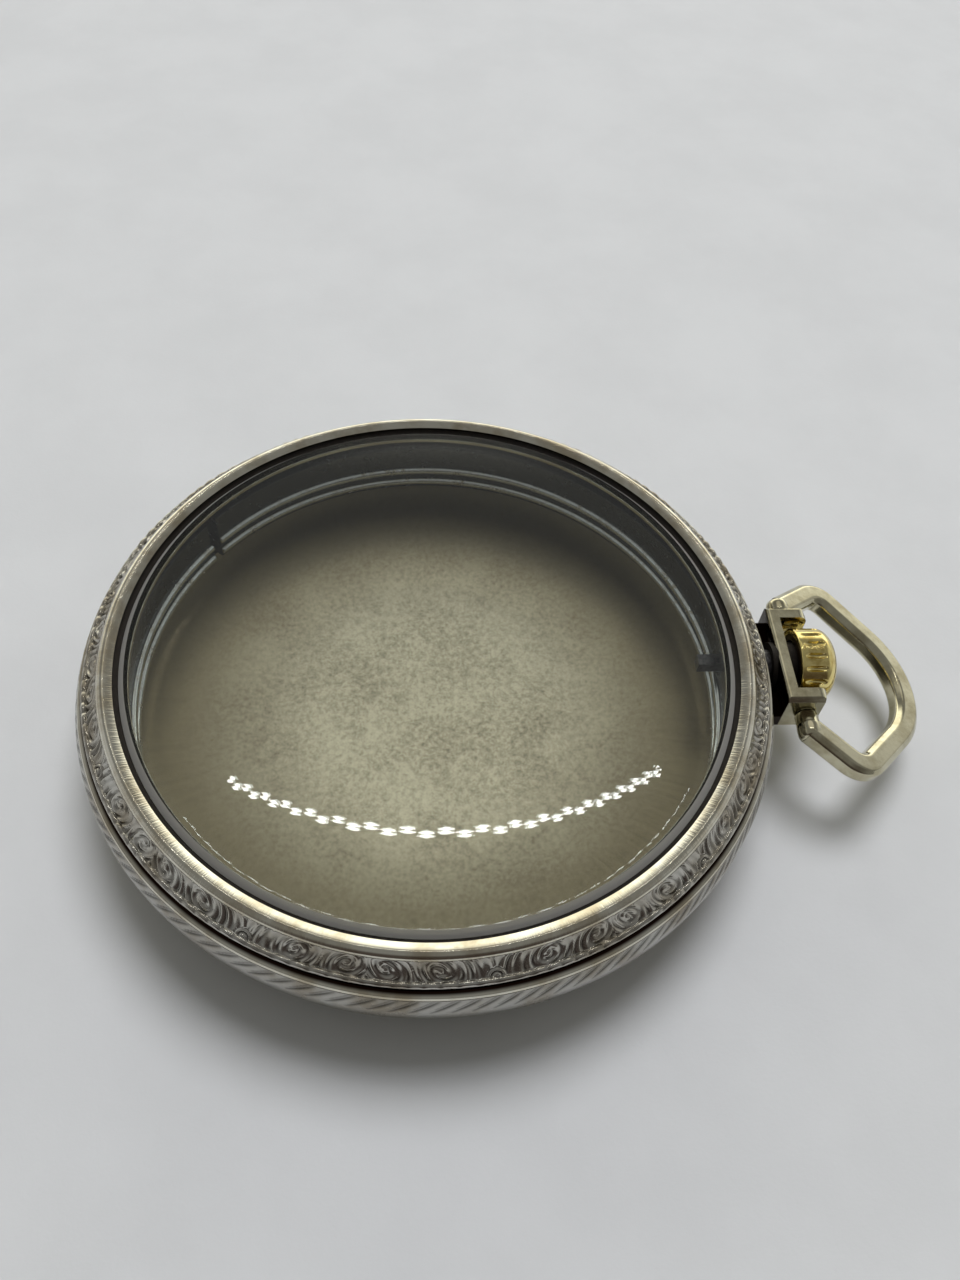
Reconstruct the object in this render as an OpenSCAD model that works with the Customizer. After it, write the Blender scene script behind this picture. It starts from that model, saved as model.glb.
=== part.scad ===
// Open-face pocket watch case, 12 size, with no movement in it.
// Millimetres. The case lies on its back: the origin is the centre of the
// back's flat rest face, +Z points out through the crystal and +X along the
// pendant. Every ring is a profile of [radius, height] turned about Z.

/* [Movement] */
// Diameter of the movement plate that the case holds
movement_d = 39.79; // [38:0.01:42]
// Radial play between the movement plate and its seat
movement_play = 0.08; // [0.04:0.01:0.1]

/* [Movement ring] */
// Wall of the ring outside the movement seat
ring_wall = 0.46; // [0.4:0.02:0.8]
// Overall height of the ring
ring_h = 4.75; // [4.4:0.05:4.9]
// Depth of the seat from the ring's top to its ledge
seat_depth = 0.85; // [0.6:0.05:1]
// Width of the ledge that the movement plate rests on
ledge_w = 0.55; // [0.4:0.05:0.8]
// Radius of the two round ridges inside the ring
ridge_r = 0.3; // [0.2:0.02:0.4]
// Distance from the ledge down to the first ridge
ridge_drop = 2.2; // [2:0.05:2.3]
// Distance between the two ridges
ridge_pitch = 1.1; // [0.9:0.05:1.2]
// Width of the notch for the movement's steady pin
notch_w = 0.8; // [0.5:0.05:1.2]
// Azimuth of the steady pin notch
notch_az = 143; // [100:1:160]

/* [Centre band] */
// Height of the band between its two shoulders
band_h = 4.0; // [3.9:0.05:4.6]
// How far the band bulges beyond its upper edge
band_bulge = 0.8; // [0.6:0.05:1.2]
// Radius of the band's convex outer face
band_curve = 3.2; // [3:0.1:4.5]
// Height of the widest point above the lower shoulder
band_waist = 2.3; // [2:0.05:2.5]
// Height of the polished bevel at the band's upper edge
band_bevel = 0.38; // [0.2:0.02:0.6]
// Height of the polished foot at the band's lower edge
band_foot = 0.25; // [0.15:0.05:0.5]
// Wall of the rim that the bezel snaps over
rim_wall = 0.5; // [0.4:0.02:0.8]
// Height of that rim above the upper shoulder
rim_h = 0.8; // [0.6:0.05:0.9]
// Wall of the rim that the back snaps over
back_rim_wall = 0.8; // [0.6:0.05:1]
// Length of that rim below the lower shoulder
back_rim_h = 0.8; // [0.5:0.05:1]

/* [Bezel] */
// Wall of the bezel's skirt outside the rim
skirt_t = 1.0; // [0.8:0.05:1.4]
// Thickness of the flange under the crystal
flange_t = 0.3; // [0.2:0.05:0.4]
// Thickness of the neck behind the groove for the crystal
neck_t = 0.2; // [0.16:0.01:0.22]
// How far the lip hangs over that groove
lip_hang = 0.22; // [0.18:0.01:0.3]
// Height of the lip above the crystal's seat
lip_h = 0.8; // [0.6:0.05:1.2]
// Width of the polished bead round the lip
bead_w = 1.0; // [0.8:0.05:1.2]
// How far the bead rises above its two edges
bead_rise = 0.3; // [0.2:0.02:0.45]
// How much lower the bead's outer edge lies than the lip
bead_fall = 0.06; // [0:0.02:0.2]
// Radius of the thin bead at the foot of the engraved slope
thin_bead_r = 0.2; // [0.12:0.02:0.25]
// Hollow of the engraved slope, measured at its middle
slope_hollow = 0.08; // [0.02:0.02:0.15]

/* [Crystal] */
// Thickness of the crystal
glass_t = 0.85; // [0.6:0.05:1.1]
// Rise of the crystal's dome
glass_rise = 0.9; // [0.4:0.05:1.6]
// Width of the bevel round the crystal's edge
glass_bevel = 0.4; // [0.2:0.05:0.6]
// Width of the crystal's bearing on the flange
glass_bearing = 0.63; // [0.5:0.01:0.9]
// Width of the gap between the crystal and the lip
glass_gap = 0.29; // [0.15:0.01:0.4]
// Height of the cement above the seat
cement_h = 0.5; // [0.3:0.05:0.6]

/* [Back cover] */
// Height of the back from its rest face to its rim
back_h = 3.65; // [3.4:0.05:4.4]
// Thickness of the back's sheet
back_t = 0.45; // [0.35:0.05:0.6]
// Radius of the flat rest face
rest_r = 7; // [4:0.5:9]
// Radius of the back's shallow dome
dome_r = 90; // [80:1:140]
// Radius of the turn from the dome up to the rim
turn_r = 3.4; // [3:0.1:3.6]
// Wall of the back's rim
back_rim_t = 0.6; // [0.5:0.05:0.8]

/* [Pendant] */
// Height of the pendant's axis above the band's lower shoulder
pendant_up = 2.6; // [2.4:0.05:2.7]
// Height of the cradle
cradle_h = 3.3; // [3:0.05:3.5]
// Gap between the cradle's arms
cradle_gap = 5.8; // [5.7:0.05:6.4]
// Thickness of each arm
arm_t = 1.0; // [0.8:0.05:1.4]
// Thickness of the cradle's plate beyond the band's widest point
plate_t = 1.1; // [1:0.05:1.3]
// Width of the plate's top
plate_w = 0.8; // [0.7:0.05:0.85]
// Height of the plate's seat on the band, from the cradle's lower side up
plate_seat = 1.35; // [1.2:0.05:1.5]
// Length of the arms beyond the plate, at their inner side
arm_l = 2.0; // [1.9:0.05:2.5]
// Slant of the arms' ends
arm_slant = 0.3; // [0.1:0.05:0.3]
// Rounding of the arms' ends
arm_round = 0.6; // [0.3:0.05:0.8]
// Chamfer along the cradle's outer edges
cradle_chamfer = 0.3; // [0.1:0.05:0.5]
// Rounding of the plate's upper edge beside the band
plate_round = 0.25; // [0.1:0.05:0.4]
// Outer diameter of the neck tube
tube_d = 3.2; // [3:0.05:3.4]
// Length of the neck tube beyond the plate
tube_l = 0.75; // [0.5:0.05:1]

/* [Sleeve and stem] */
// Outer diameter of the sleeve
sleeve_d = 2.2; // [2:0.05:2.3]
// Wall of the sleeve
sleeve_wall = 0.22; // [0.18:0.02:0.26]
// Length of the narrow lips at the sleeve's inner end
lip_l = 0.5; // [0.3:0.05:0.8]
// Width of the four slots between the sleeve's fingers
slot_w = 0.3; // [0.2:0.05:0.4]
// Length of the slots
slot_l = 1.6; // [1:0.1:2]
// Diameter of the stem
stem_d = 1.2; // [1:0.05:1.3]
// Width across the flats of the stem's square
square_w = 0.84; // [0.7:0.02:0.9]
// How far the square reaches inside the movement ring
square_l = 1.5; // [1:0.1:2.4]
// Length of the stem's collar
collar_l = 0.6; // [0.4:0.05:0.8]

/* [Crown] */
// Diameter of the crown
crown_d = 5.1; // [4.8:0.05:5.4]
// Length of the crown's straight skirt
crown_skirt = 1.6; // [1.5:0.05:2]
// Height of the crown's domed end
crown_dome = 1.4; // [1:0.05:1.8]
// Rounding of the skirt's open edge
crown_edge = 0.12; // [0.05:0.01:0.2]
// Number of scooped furrows round the crown
furrow_n = 18; // [14:1:24]
// Length of each furrow
furrow_l = 1.5; // [1.2:0.05:1.5]
// Width of each furrow
furrow_w = 0.34; // [0.24:0.02:0.4]
// Depth of each furrow in its middle
furrow_d = 0.22; // [0.14:0.02:0.28]
// Distance of the furrows from the skirt's open edge
furrow_in = 0.25; // [0.15:0.05:0.3]
// Wall of the gold shell under the furrows
shell_t = 0.18; // [0.14:0.02:0.24]
// Gap between the cradle's plate and the crown
crown_stand = 0.5; // [0.4:0.05:0.8]
// Travel of the crown from winding to setting
crown_travel = 1.0; // [0.6:0.1:1.2]
// Thickness of the dust washer
washer_t = 0.3; // [0.2:0.05:0.4]

/* [Bow] */
// Reach of the bow from its pivots to its far end
bow_reach = 10.1; // [9.6:0.1:11]
// Width of the bow's bar
bow_w = 1.75; // [1.5:0.05:2]
// Thickness of the bow's bar
bow_t = 1.5; // [1.4:0.05:1.6]
// Bevel along the bar's edges
bow_bevel = 0.3; // [0.2:0.05:0.5]
// Radius of the nose along the middle of the bar
nose_r = 5.55; // [5:0.05:5.9]
// Half of the angle that the nose turns through
nose_half = 48.5; // [44:0.5:52]
// Angle by which the arms spread from the eyes to the shoulders
arm_flare = 35; // [30:1:40]
// Radius of the shoulders' bends along the middle of the bar
shoulder_r = 1.6; // [1.3:0.05:2.2]
// Angle by which the bow stands below level at rest
bow_droop = 20; // [16:0.5:28]
// Side play between each eye and its arm
bow_play = 0.35; // [0.3:0.05:0.45]
// How far the bow stands to the side at rest
bow_shift = 0.2; // [0:0.05:0.2]
// Width of the eyes that carry the pivot pins
eye_w = 1.5; // [1.4:0.05:1.8]
// Diameter of the eyes
eye_d = 1.6; // [1.6:0.05:2]
// Diameter of the pivot pins
pin_d = 1.2; // [1:0.05:1.4]
// Distance of the pivots from the cradle's plate
pivot_out = 0.75; // [0.7:0.05:0.9]

/* [Fits] */
// Gap at the two snap seams, between the shoulders and what they carry
seam = 0.05; // [0.03:0.01:0.1]
// Radial play of the snap rims
snap_play = 0.05; // [0.03:0.01:0.08]
// Gap between pieces that are pressed or soldered together
joint_gap = 0.01; // [0.01:0.01:0.03]
// Radial play of the pivot pins in the cradle
pin_play = 0.05; // [0.02:0.01:0.09]
// Radial play of the stem in its sleeve
stem_play = 0.06; // [0.03:0.01:0.09]
// Gap round moving pieces that don't bear on each other
free_gap = 0.15; // [0.1:0.01:0.2]

/* [Hidden] */
$fn = 128;

// Heights above the rest face
band_z0 = back_h + seam;
band_z1 = band_z0 + band_h;
rim_z1 = band_z1 + rim_h;
back_rim_z0 = band_z0 - back_rim_h;
bezel_z0 = band_z1 + seam;
glass_z0 = rim_z1;
flange_z0 = glass_z0 - flange_t;
ring_z1 = flange_z0 - free_gap;
ring_z0 = ring_z1 - ring_h;
seat_z = ring_z1 - seat_depth;
lip_z = glass_z0 + lip_h;
roof_z = rim_z1 + snap_play*2;
axis_z = band_z0 + pendant_up;

// Radii from the case's axis
seat_r = movement_d/2 + movement_play;
bore_r = seat_r - ledge_w;
ring_r = seat_r + ring_wall;
inner_r = ring_r + joint_gap;
rim_r = inner_r + rim_wall;
skirt_bore_r = rim_r + snap_play;
skirt_r = skirt_bore_r + skirt_t;
back_rim_r = inner_r + back_rim_wall;
back_bore_r = back_rim_r + snap_play;
back_r = back_bore_r + back_rim_t;
flange_r = inner_r - snap_play;
groove_r = flange_r - neck_t;
lip_r = groove_r - lip_hang;
glass_r = lip_r - glass_gap;
flange_bore_r = glass_r - glass_bearing;
bead_r = lip_r + bead_w;
thin_bead_x = skirt_r - thin_bead_r/2;
band_edge_r = skirt_r + seam;
band_r = band_edge_r + band_bulge;

// Places along the pendant
plate_x = band_r + plate_t;
tube_x = plate_x + tube_l;
pivot_x = plate_x + pivot_out;
crown_x = plate_x + crown_stand;
crown_r = crown_d/2;
dome_x = crown_x + crown_skirt;
washer_x = tube_x + free_gap*2;
core_x = washer_x + washer_t + joint_gap;
sleeve_x0 = ring_r + joint_gap;
sleeve_x1 = tube_x - free_gap;
collar_x = sleeve_x1 - free_gap - crown_travel - collar_l;
square_x = bore_r - square_l;
arm_y0 = cradle_gap/2;
arm_y1 = arm_y0 + arm_t;

// Length by which cutting shapes run past what they cut
past = 1;

// Radii about the pendant's axis
tube_r = tube_d/2;
plate_eye_r = tube_r + joint_gap*4;
sleeve_r = sleeve_d/2;
chamber_r = sleeve_r - sleeve_wall;
lips_r = stem_d/2 + stem_play;
collar_r = chamber_r - stem_play;
core_r = crown_r - furrow_d - shell_t;
cavity_r = tube_r + free_gap;

// Outer end of the crown's core, where the dome still leaves the shell its wall
core_end = dome_x + crown_dome*sqrt(1 - pow((core_r + shell_t)/crown_r, 2)) - shell_t;

// Points along an arc about c, from angle a0 to angle a1
function arc(c, r, a0, a1, n = 12) =
    [for (i = [0:n]) let (a = a0 + (a1 - a0)*i/n) c + r*[cos(a), sin(a)]];

// The same points in the opposite order
function reversed(l) = [for (i = [len(l) - 1:-1:0]) l[i]];

// Points along a shallow arc from p to q that bows to the left by h
function bowed(p, q, h, n = 8) =
    let (d = q - p, l = norm(d), m = (p + q)/2, u = [-d[1], d[0]]/l,
         r = (l*l/4 + h*h)/(2*abs(h)), s = h < 0 ? -1 : 1,
         c = m - s*u*(r - abs(h)),
         a0 = atan2(p[1] - c[1], p[0] - c[0]), half = asin(l/2/r))
    arc(c, r, a0, a0 - s*2*half, n);

// A solid of revolution about the case's axis from [radius, height] points
module turned(points) {
    rotate_extrude() polygon(points);
}

// A round bar along the pendant's axis, from x0 to x1
module along_x(r, x0, x1) {
    translate([x0, 0, axis_z]) rotate([0, 90, 0]) cylinder(r = r, h = x1 - x0);
}

// Outer face of the back: flat, a shallow dome, then the turn up to the rim
dome_a = asin((back_r - turn_r - rest_r)/(dome_r - turn_r));
turn_c = [rest_r + (dome_r - turn_r)*sin(dome_a), dome_r - (dome_r - turn_r)*cos(dome_a)];
function back_face(t, z_end) =
    let (r = turn_r - t, a_end = asin((z_end - turn_c[1])/r))
    concat([[0, t]], arc([rest_r, dome_r], dome_r - t, -90, -90 + dome_a, 10),
           arc(turn_c, r, -90 + dome_a, a_end, 12));

// Back cover: a shallow dished shell whose rim snaps over the band
module back_cover() {
    step_z = back_rim_z0 - seam;
    color("darkkhaki") turned(concat(
        back_face(0, back_h), [[back_bore_r, back_h], [back_bore_r, step_z]],
        reversed(back_face(back_t, step_z))));
}

// The band's outer face, from its upper edge down to its lower edge
band_c = [band_r - band_curve, band_z0 + band_waist];
function band_face(out = 0) =
    let (r = band_curve + out, a1 = asin((band_z1 - band_bevel - band_c[1])/band_curve),
         a0 = asin((band_z0 + band_foot - band_c[1])/band_curve))
    concat([[band_edge_r + out, band_z1]], arc(band_c, r, a1, a0, 16),
           [[back_r + seam + out, band_z0]]);

// Centre band: convex ring with a snap rim above and below
module centre_band() {
    color("silver") difference() {
        turned(concat([[inner_r, rim_z1], [rim_r, rim_z1], [rim_r, band_z1]], band_face(),
                      [[back_rim_r, band_z0], [back_rim_r, back_rim_z0], [inner_r, back_rim_z0]]));
        along_x(sleeve_r + joint_gap, 0, band_r + past);
    }
}

// Movement ring: the seat and ledge for the movement plate, two round ridges
// below it, a hole for the stem and a notch for the steady pin
module movement_ring() {
    upper = [bore_r, seat_z - ridge_drop];
    lower = upper - [0, ridge_pitch];
    color("lightsteelblue") difference() {
        turned(concat(
            [[seat_r, ring_z1], [ring_r, ring_z1], [ring_r, ring_z0], [bore_r, ring_z0]],
            arc(lower, ridge_r, 270, 90), arc(upper, ridge_r, 270, 90),
            [[bore_r, seat_z], [seat_r, seat_z]]));
        along_x(lips_r + free_gap, 0, ring_r + past);
        rotate([0, 0, notch_az]) translate([0, -notch_w/2, ring_z0 - past])
            cube([seat_r, notch_w, ring_h + 2*past]);
    }
}

// Pendant cradle: a plate soldered to the band and two arms beside the crown
module pendant_cradle() {
    z0 = axis_z - cradle_h/2;
    z1 = axis_z + cradle_h/2;
    back_x = band_r - plate_t;
    wall_x = plate_x - plate_w;
    seat_top = z0 + plate_seat;
    end_x = plate_x + arm_l;
    far = arm_y1 + past;
    color("gainsboro") difference() {
        union() {
            // eye: keeps the plate whole round the neck tube, whatever the cradle's height
            along_x(plate_eye_r, wall_x + plate_round, plate_x - joint_gap);
            intersection() {
                // plan: plate and arms with slanted ends
                translate([0, 0, z0 - past]) linear_extrude(cradle_h + 2*past) polygon([
                    [back_x, -arm_y1], [end_x - arm_slant, -arm_y1], [end_x, -arm_y0],
                    [plate_x, -arm_y0], [plate_x, arm_y0], [end_x, arm_y0],
                    [end_x - arm_slant, arm_y1], [back_x, arm_y1]]);
                // side view: the plate's upper part stands clear of the band, the lower part
                // seats on it, and the arms' ends are rounded
                translate([0, far, 0]) rotate([90, 0, 0]) linear_extrude(2*far) polygon(concat(
                    arc([wall_x + plate_round, z1 - plate_round], plate_round, 180, 90, 8),
                    arc([end_x - arm_round, z1 - arm_round], arm_round, 90, 0, 8),
                    arc([end_x - arm_round, z0 + arm_round], arm_round, 0, -90, 8),
                    [[back_x, z0], [back_x, seat_top], [wall_x, seat_top]]));
                // end view: chamfered outer edges
                translate([back_x - past, 0, 0]) rotate([90, 0, 90])
                    linear_extrude(end_x - back_x + 2*past) polygon([
                    [-arm_y1, z0 + cradle_chamfer], [-arm_y1 + cradle_chamfer, z0],
                    [arm_y1 - cradle_chamfer, z0], [arm_y1, z0 + cradle_chamfer],
                    [arm_y1, z1 - cradle_chamfer], [arm_y1 - cradle_chamfer, z1],
                    [-arm_y1 + cradle_chamfer, z1], [-arm_y1, z1 - cradle_chamfer]]);
            }
        }
        turned(concat([[0, band_z1]], band_face(joint_gap), [[0, band_z0]]));
        along_x(tube_r + joint_gap, 0, end_x);
        translate([pivot_x, far, axis_z]) rotate([90, 0, 0])
            cylinder(r = pin_d/2 + pin_play, h = 2*far, $fn = 64);
    }
}

// Neck tube: stands on the band inside the plate and carries the sleeve
module neck_tube() {
    color("silver") difference() {
        along_x(tube_r, band_r + joint_gap*2, tube_x);
        along_x(sleeve_r + joint_gap, band_r, tube_x + past);
    }
}

// Sleeve: screwed into the neck, with four spring fingers at its inner end
module stem_sleeve() {
    color("goldenrod") difference() {
        along_x(sleeve_r, sleeve_x0, sleeve_x1);
        along_x(lips_r, sleeve_x0 - past, sleeve_x0 + lip_l);
        along_x(chamber_r, sleeve_x0 + lip_l, sleeve_x1 + past);
        for (a = [45, 135]) translate([sleeve_x0 - past, 0, axis_z]) rotate([a, 0, 0])
            translate([0, -sleeve_d, -slot_w/2]) cube([slot_l + past, sleeve_d*2, slot_w]);
    }
}

// Bezel: undercut lip with its bead, hollow engraved slope, thin bead and snap skirt
module bezel() {
    slope_top = [bead_r, lip_z - bead_fall];
    thin_c = [thin_bead_x, bezel_z0 + thin_bead_r*2];
    slope_foot = thin_c + thin_bead_r*[cos(135), sin(135)];
    color("silver") turned(concat(
        [[flange_bore_r, flange_z0], [flange_bore_r, glass_z0], [groove_r, glass_z0],
         [groove_r, lip_z - lip_hang]],
        bowed([lip_r, lip_z], slope_top, bead_rise, 10),
        bowed(slope_top, slope_foot, -slope_hollow, 6),
        arc(thin_c, thin_bead_r, 120, -60, 12),
        [[skirt_r, bezel_z0], [skirt_bore_r, bezel_z0], [skirt_bore_r, roof_z],
         [flange_r, roof_z], [flange_r, flange_z0]]));
}

// Crystal: a low domed disc with a bevelled edge, bedded on the bezel's flange
module crystal() {
    rim_top = glass_z0 + glass_t;
    flat_r = glass_r - glass_bevel;
    color([0.85, 0.92, 0.95, 0.35]) turned(concat(
        half_dome(flange_bore_r, glass_z0, glass_rise),
        [[glass_r, glass_z0], [glass_r, rim_top - glass_bevel]],
        reversed(half_dome(flat_r, rim_top, glass_rise))));
}

// Points from the centre out to the edge of a dome of the given rise over radius r
function half_dome(r, z, rise, n = 12) =
    let (big = (r*r + rise*rise)/(2*rise), a = asin(r/big))
    [for (i = [0:n]) let (t = a*i/n) [big*sin(t), z + rise - big*(1 - cos(t))]];

// Cement: fills the foot of the groove round the crystal
module crystal_cement() {
    color("dimgray") turned([[glass_r + joint_gap, glass_z0], [groove_r - joint_gap, glass_z0],
                             [groove_r - joint_gap, glass_z0 + cement_h],
                             [glass_r + joint_gap, glass_z0 + cement_h]]);
}

// Dust washer: lies at the bottom of the crown's cavity round the stem
module crown_washer() {
    color("saddlebrown") difference() {
        along_x(cavity_r - free_gap/2, washer_x, washer_x + washer_t);
        along_x(stem_d/2 + free_gap, washer_x - past, washer_x + washer_t + past);
    }
}

// Crown core: base metal body that holds the stem and swallows the neck tube
module crown_core() {
    color("darkgoldenrod") difference() {
        along_x(core_r - joint_gap, crown_x, core_end);
        along_x(cavity_r, crown_x - past, core_x);
        along_x(stem_d/2 + joint_gap, core_x - past, core_end + past);
    }
}

// A cutter wheel with a round edge, which leaves one furrow in the top of the crown
module furrow_wheel() {
    edge_r = (pow(furrow_w/2, 2) + furrow_d*furrow_d)/(2*furrow_d);
    wheel_r = (pow(furrow_l/2, 2) + furrow_d*furrow_d)/(2*furrow_d);
    translate([crown_x + furrow_in + furrow_l/2, 0, crown_r + wheel_r - furrow_d])
        rotate([90, 0, 0]) rotate_extrude() translate([wheel_r - edge_r, 0])
            circle(r = edge_r, $fn = 48);
}

// Crown shell: gold, a cup with a full dome and scooped furrows round its skirt
module crown_shell() {
    dome = [for (i = [0:16]) let (t = 90*i/16)
            [crown_r*cos(t), dome_x + crown_dome*sin(t)]];
    inside_x = core_end + joint_gap;
    color("gold") translate([0, 0, axis_z]) difference() {
        rotate([0, 90, 0]) turned(concat([[core_r, crown_x]],
            arc([crown_r - crown_edge, crown_x + crown_edge], crown_edge, -90, 0, 4),
            dome, [[0, inside_x], [core_r, inside_x]]));
        for (i = [0:furrow_n - 1]) rotate([360/furrow_n*(i + 0.5), 0, 0]) furrow_wheel();
    }
}

// Winding stem: square inner end, neck, collar and the thread's length in the crown
module winding_stem() {
    color("dimgray") {
        translate([square_x, -square_w/2, axis_z - square_w/2])
            cube([sleeve_x0 - free_gap - square_x, square_w, square_w]);
        along_x(stem_d/2, sleeve_x0 - free_gap, core_end - joint_gap);
        along_x(collar_r, collar_x, collar_x + collar_l);
    }
}

// The straight lengths of the bar are slimmer than its turns by run_in on each
// side and reach run_in*5 into them, so that the pieces join without a seam
run_in = 0.004;

// The bow's bar in section: width across, thickness up, bevelled edges
module bar_section(in = 0) {
    w = bow_w/2 - in;
    t = bow_t/2 - in;
    polygon([[-w, -t + bow_bevel], [-w + bow_bevel, -t], [w - bow_bevel, -t], [w, -t + bow_bevel],
             [w, t - bow_bevel], [w - bow_bevel, t], [-w + bow_bevel, t], [-w, t - bow_bevel]]);
}

// Route of the bar's middle in the bow's own plane, pivots at x = 0
eye_y = arm_y1 + bow_play + eye_w/2;
nose_c = bow_reach - bow_w/2 - nose_r;
nose_end = [nose_c + nose_r*cos(nose_half), nose_r*sin(nose_half)];
leg_a = 90 + nose_half;
arm_a = 180 + arm_flare;
arm_u = [cos(arm_flare), sin(arm_flare)];
leg_u = [cos(leg_a), sin(leg_a)];
// The arm's and the leg's lines meet at the apex, outside the shoulder's bend
span = nose_end - [0, eye_y];
bar_arm_l = cross(span, leg_u)/cross(arm_u, leg_u);
leg_l = cross(span, arm_u)/cross(arm_u, leg_u);
apex = nose_end + leg_l*leg_u;
bend = arm_a - leg_a;
bend_l = shoulder_r*tan(bend/2);
bend_p = apex - bend_l*leg_u;
bend_c = bend_p + shoulder_r*[-sin(leg_a), cos(leg_a)];

// The bar turned about c through angle a, starting at angle a0
module bar_turn(c, r, a0, a) {
    translate([c[0], c[1], 0]) rotate([0, 0, a0]) rotate_extrude(angle = a)
        translate([r, 0]) bar_section();
}

// A straight length of bar from p in direction a
module bar_run(p, a, l) {
    lap = run_in*5;
    translate([p[0], p[1], 0]) rotate([0, 0, a]) translate([-lap, 0, 0]) rotate([90, 0, 90])
        linear_extrude(l + 2*lap) bar_section(run_in);
}

// One side of the bow: leg, shoulder, arm, eye and pivot pin
module bow_side() {
    arm_p = apex - bend_l*arm_u;
    bar_run(nose_end, leg_a, leg_l - bend_l);
    bar_turn(bend_c, shoulder_r, leg_a - 90, bend);
    bar_run(arm_p, arm_a, bar_arm_l - bend_l);
    translate([0, arm_y1 + bow_play, 0]) rotate([-90, 0, 0])
        cylinder(r = eye_d/2, h = eye_w, $fn = 64);
    translate([0, arm_y0 + bow_play, 0]) rotate([-90, 0, 0])
        cylinder(r = pin_d/2, h = arm_t + eye_w/2, $fn = 64);
}

// Bow: five-sided loop with a round nose, hung on two pins in the cradle
module bow() {
    color("tan") translate([pivot_x, -bow_shift, axis_z]) rotate([0, bow_droop, 0]) {
        bar_turn([nose_c, 0], nose_r, -nose_half, 2*nose_half);
        bow_side();
        mirror([0, 1, 0]) bow_side();
    }
}

back_cover();
centre_band();
movement_ring();
pendant_cradle();
neck_tube();
stem_sleeve();
bezel();
crystal();
crystal_cement();
crown_washer();
crown_core();
crown_shell();
winding_stem();
bow();
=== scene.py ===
"""Looks of a 12 size open-face pocket watch case that lies on its back on pale paper.

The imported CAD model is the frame. Pieces are worked out in millimetres and put into
Blender in metres. Outlines of turned pieces are [radius, height] about the case's axis.
"""

from types import SimpleNamespace

import bpy
import numpy as np
from bpy.props import FloatProperty, FloatVectorProperty, IntProperty, PointerProperty
from mathutils import Matrix


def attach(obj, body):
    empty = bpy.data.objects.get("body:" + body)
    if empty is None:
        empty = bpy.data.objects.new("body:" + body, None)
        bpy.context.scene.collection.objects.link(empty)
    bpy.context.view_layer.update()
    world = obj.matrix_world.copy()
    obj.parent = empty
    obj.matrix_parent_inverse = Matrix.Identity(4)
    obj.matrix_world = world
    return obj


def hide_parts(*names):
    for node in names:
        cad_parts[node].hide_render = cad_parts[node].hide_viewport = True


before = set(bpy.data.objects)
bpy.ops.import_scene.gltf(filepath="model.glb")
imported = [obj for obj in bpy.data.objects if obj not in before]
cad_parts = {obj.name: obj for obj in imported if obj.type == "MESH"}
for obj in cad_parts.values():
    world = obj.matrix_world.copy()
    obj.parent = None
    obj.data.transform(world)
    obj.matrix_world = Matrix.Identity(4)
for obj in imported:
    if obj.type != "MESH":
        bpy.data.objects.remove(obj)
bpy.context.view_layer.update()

bl_info = {
    "name": "Pocket Watch Case",
    "version": (1, 0, 0),
    "blender": (4, 5, 0),
    "location": "3D View > Sidebar > Watch Case",
    "description": "Dresses the packed pocket watch case with metals, crystal and engraving",
    "category": "Add Mesh",
}

MM = 0.001
SENSOR = 36  # width of the camera's sensor, mm
FIRST_FAN = -156.0  # azimuth of the engraving's first fan, degrees
UNDARKENED = (1.0, 1.0, 1.0, 1.0)  # a darkening layer with nothing in it, neither dirt nor painted shade


# Properties


def length(name, description, mm):
    """A length property with its default given in millimetres."""
    return FloatProperty(name=name, description=description, default=mm*MM, min=0,
                         unit="LENGTH", subtype="DISTANCE", precision=5)


def colour(name, description, hex_code):
    """A colour property with its default given as an sRGB hex code."""
    return FloatVectorProperty(name=name, description=description, default=linear(hex_code),
                               size=4, min=0, max=1, subtype="COLOR")


def linear(hex_code):
    """An sRGB hex code as linear red, green, blue and alpha."""
    s = np.array([int(hex_code[i:i + 2], 16) for i in (1, 3, 5)])/255
    rgb = np.where(s <= 0.04045, s/12.92, ((s + 0.055)/1.055)**2.4)
    return (*rgb.tolist(), 1.0)


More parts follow.
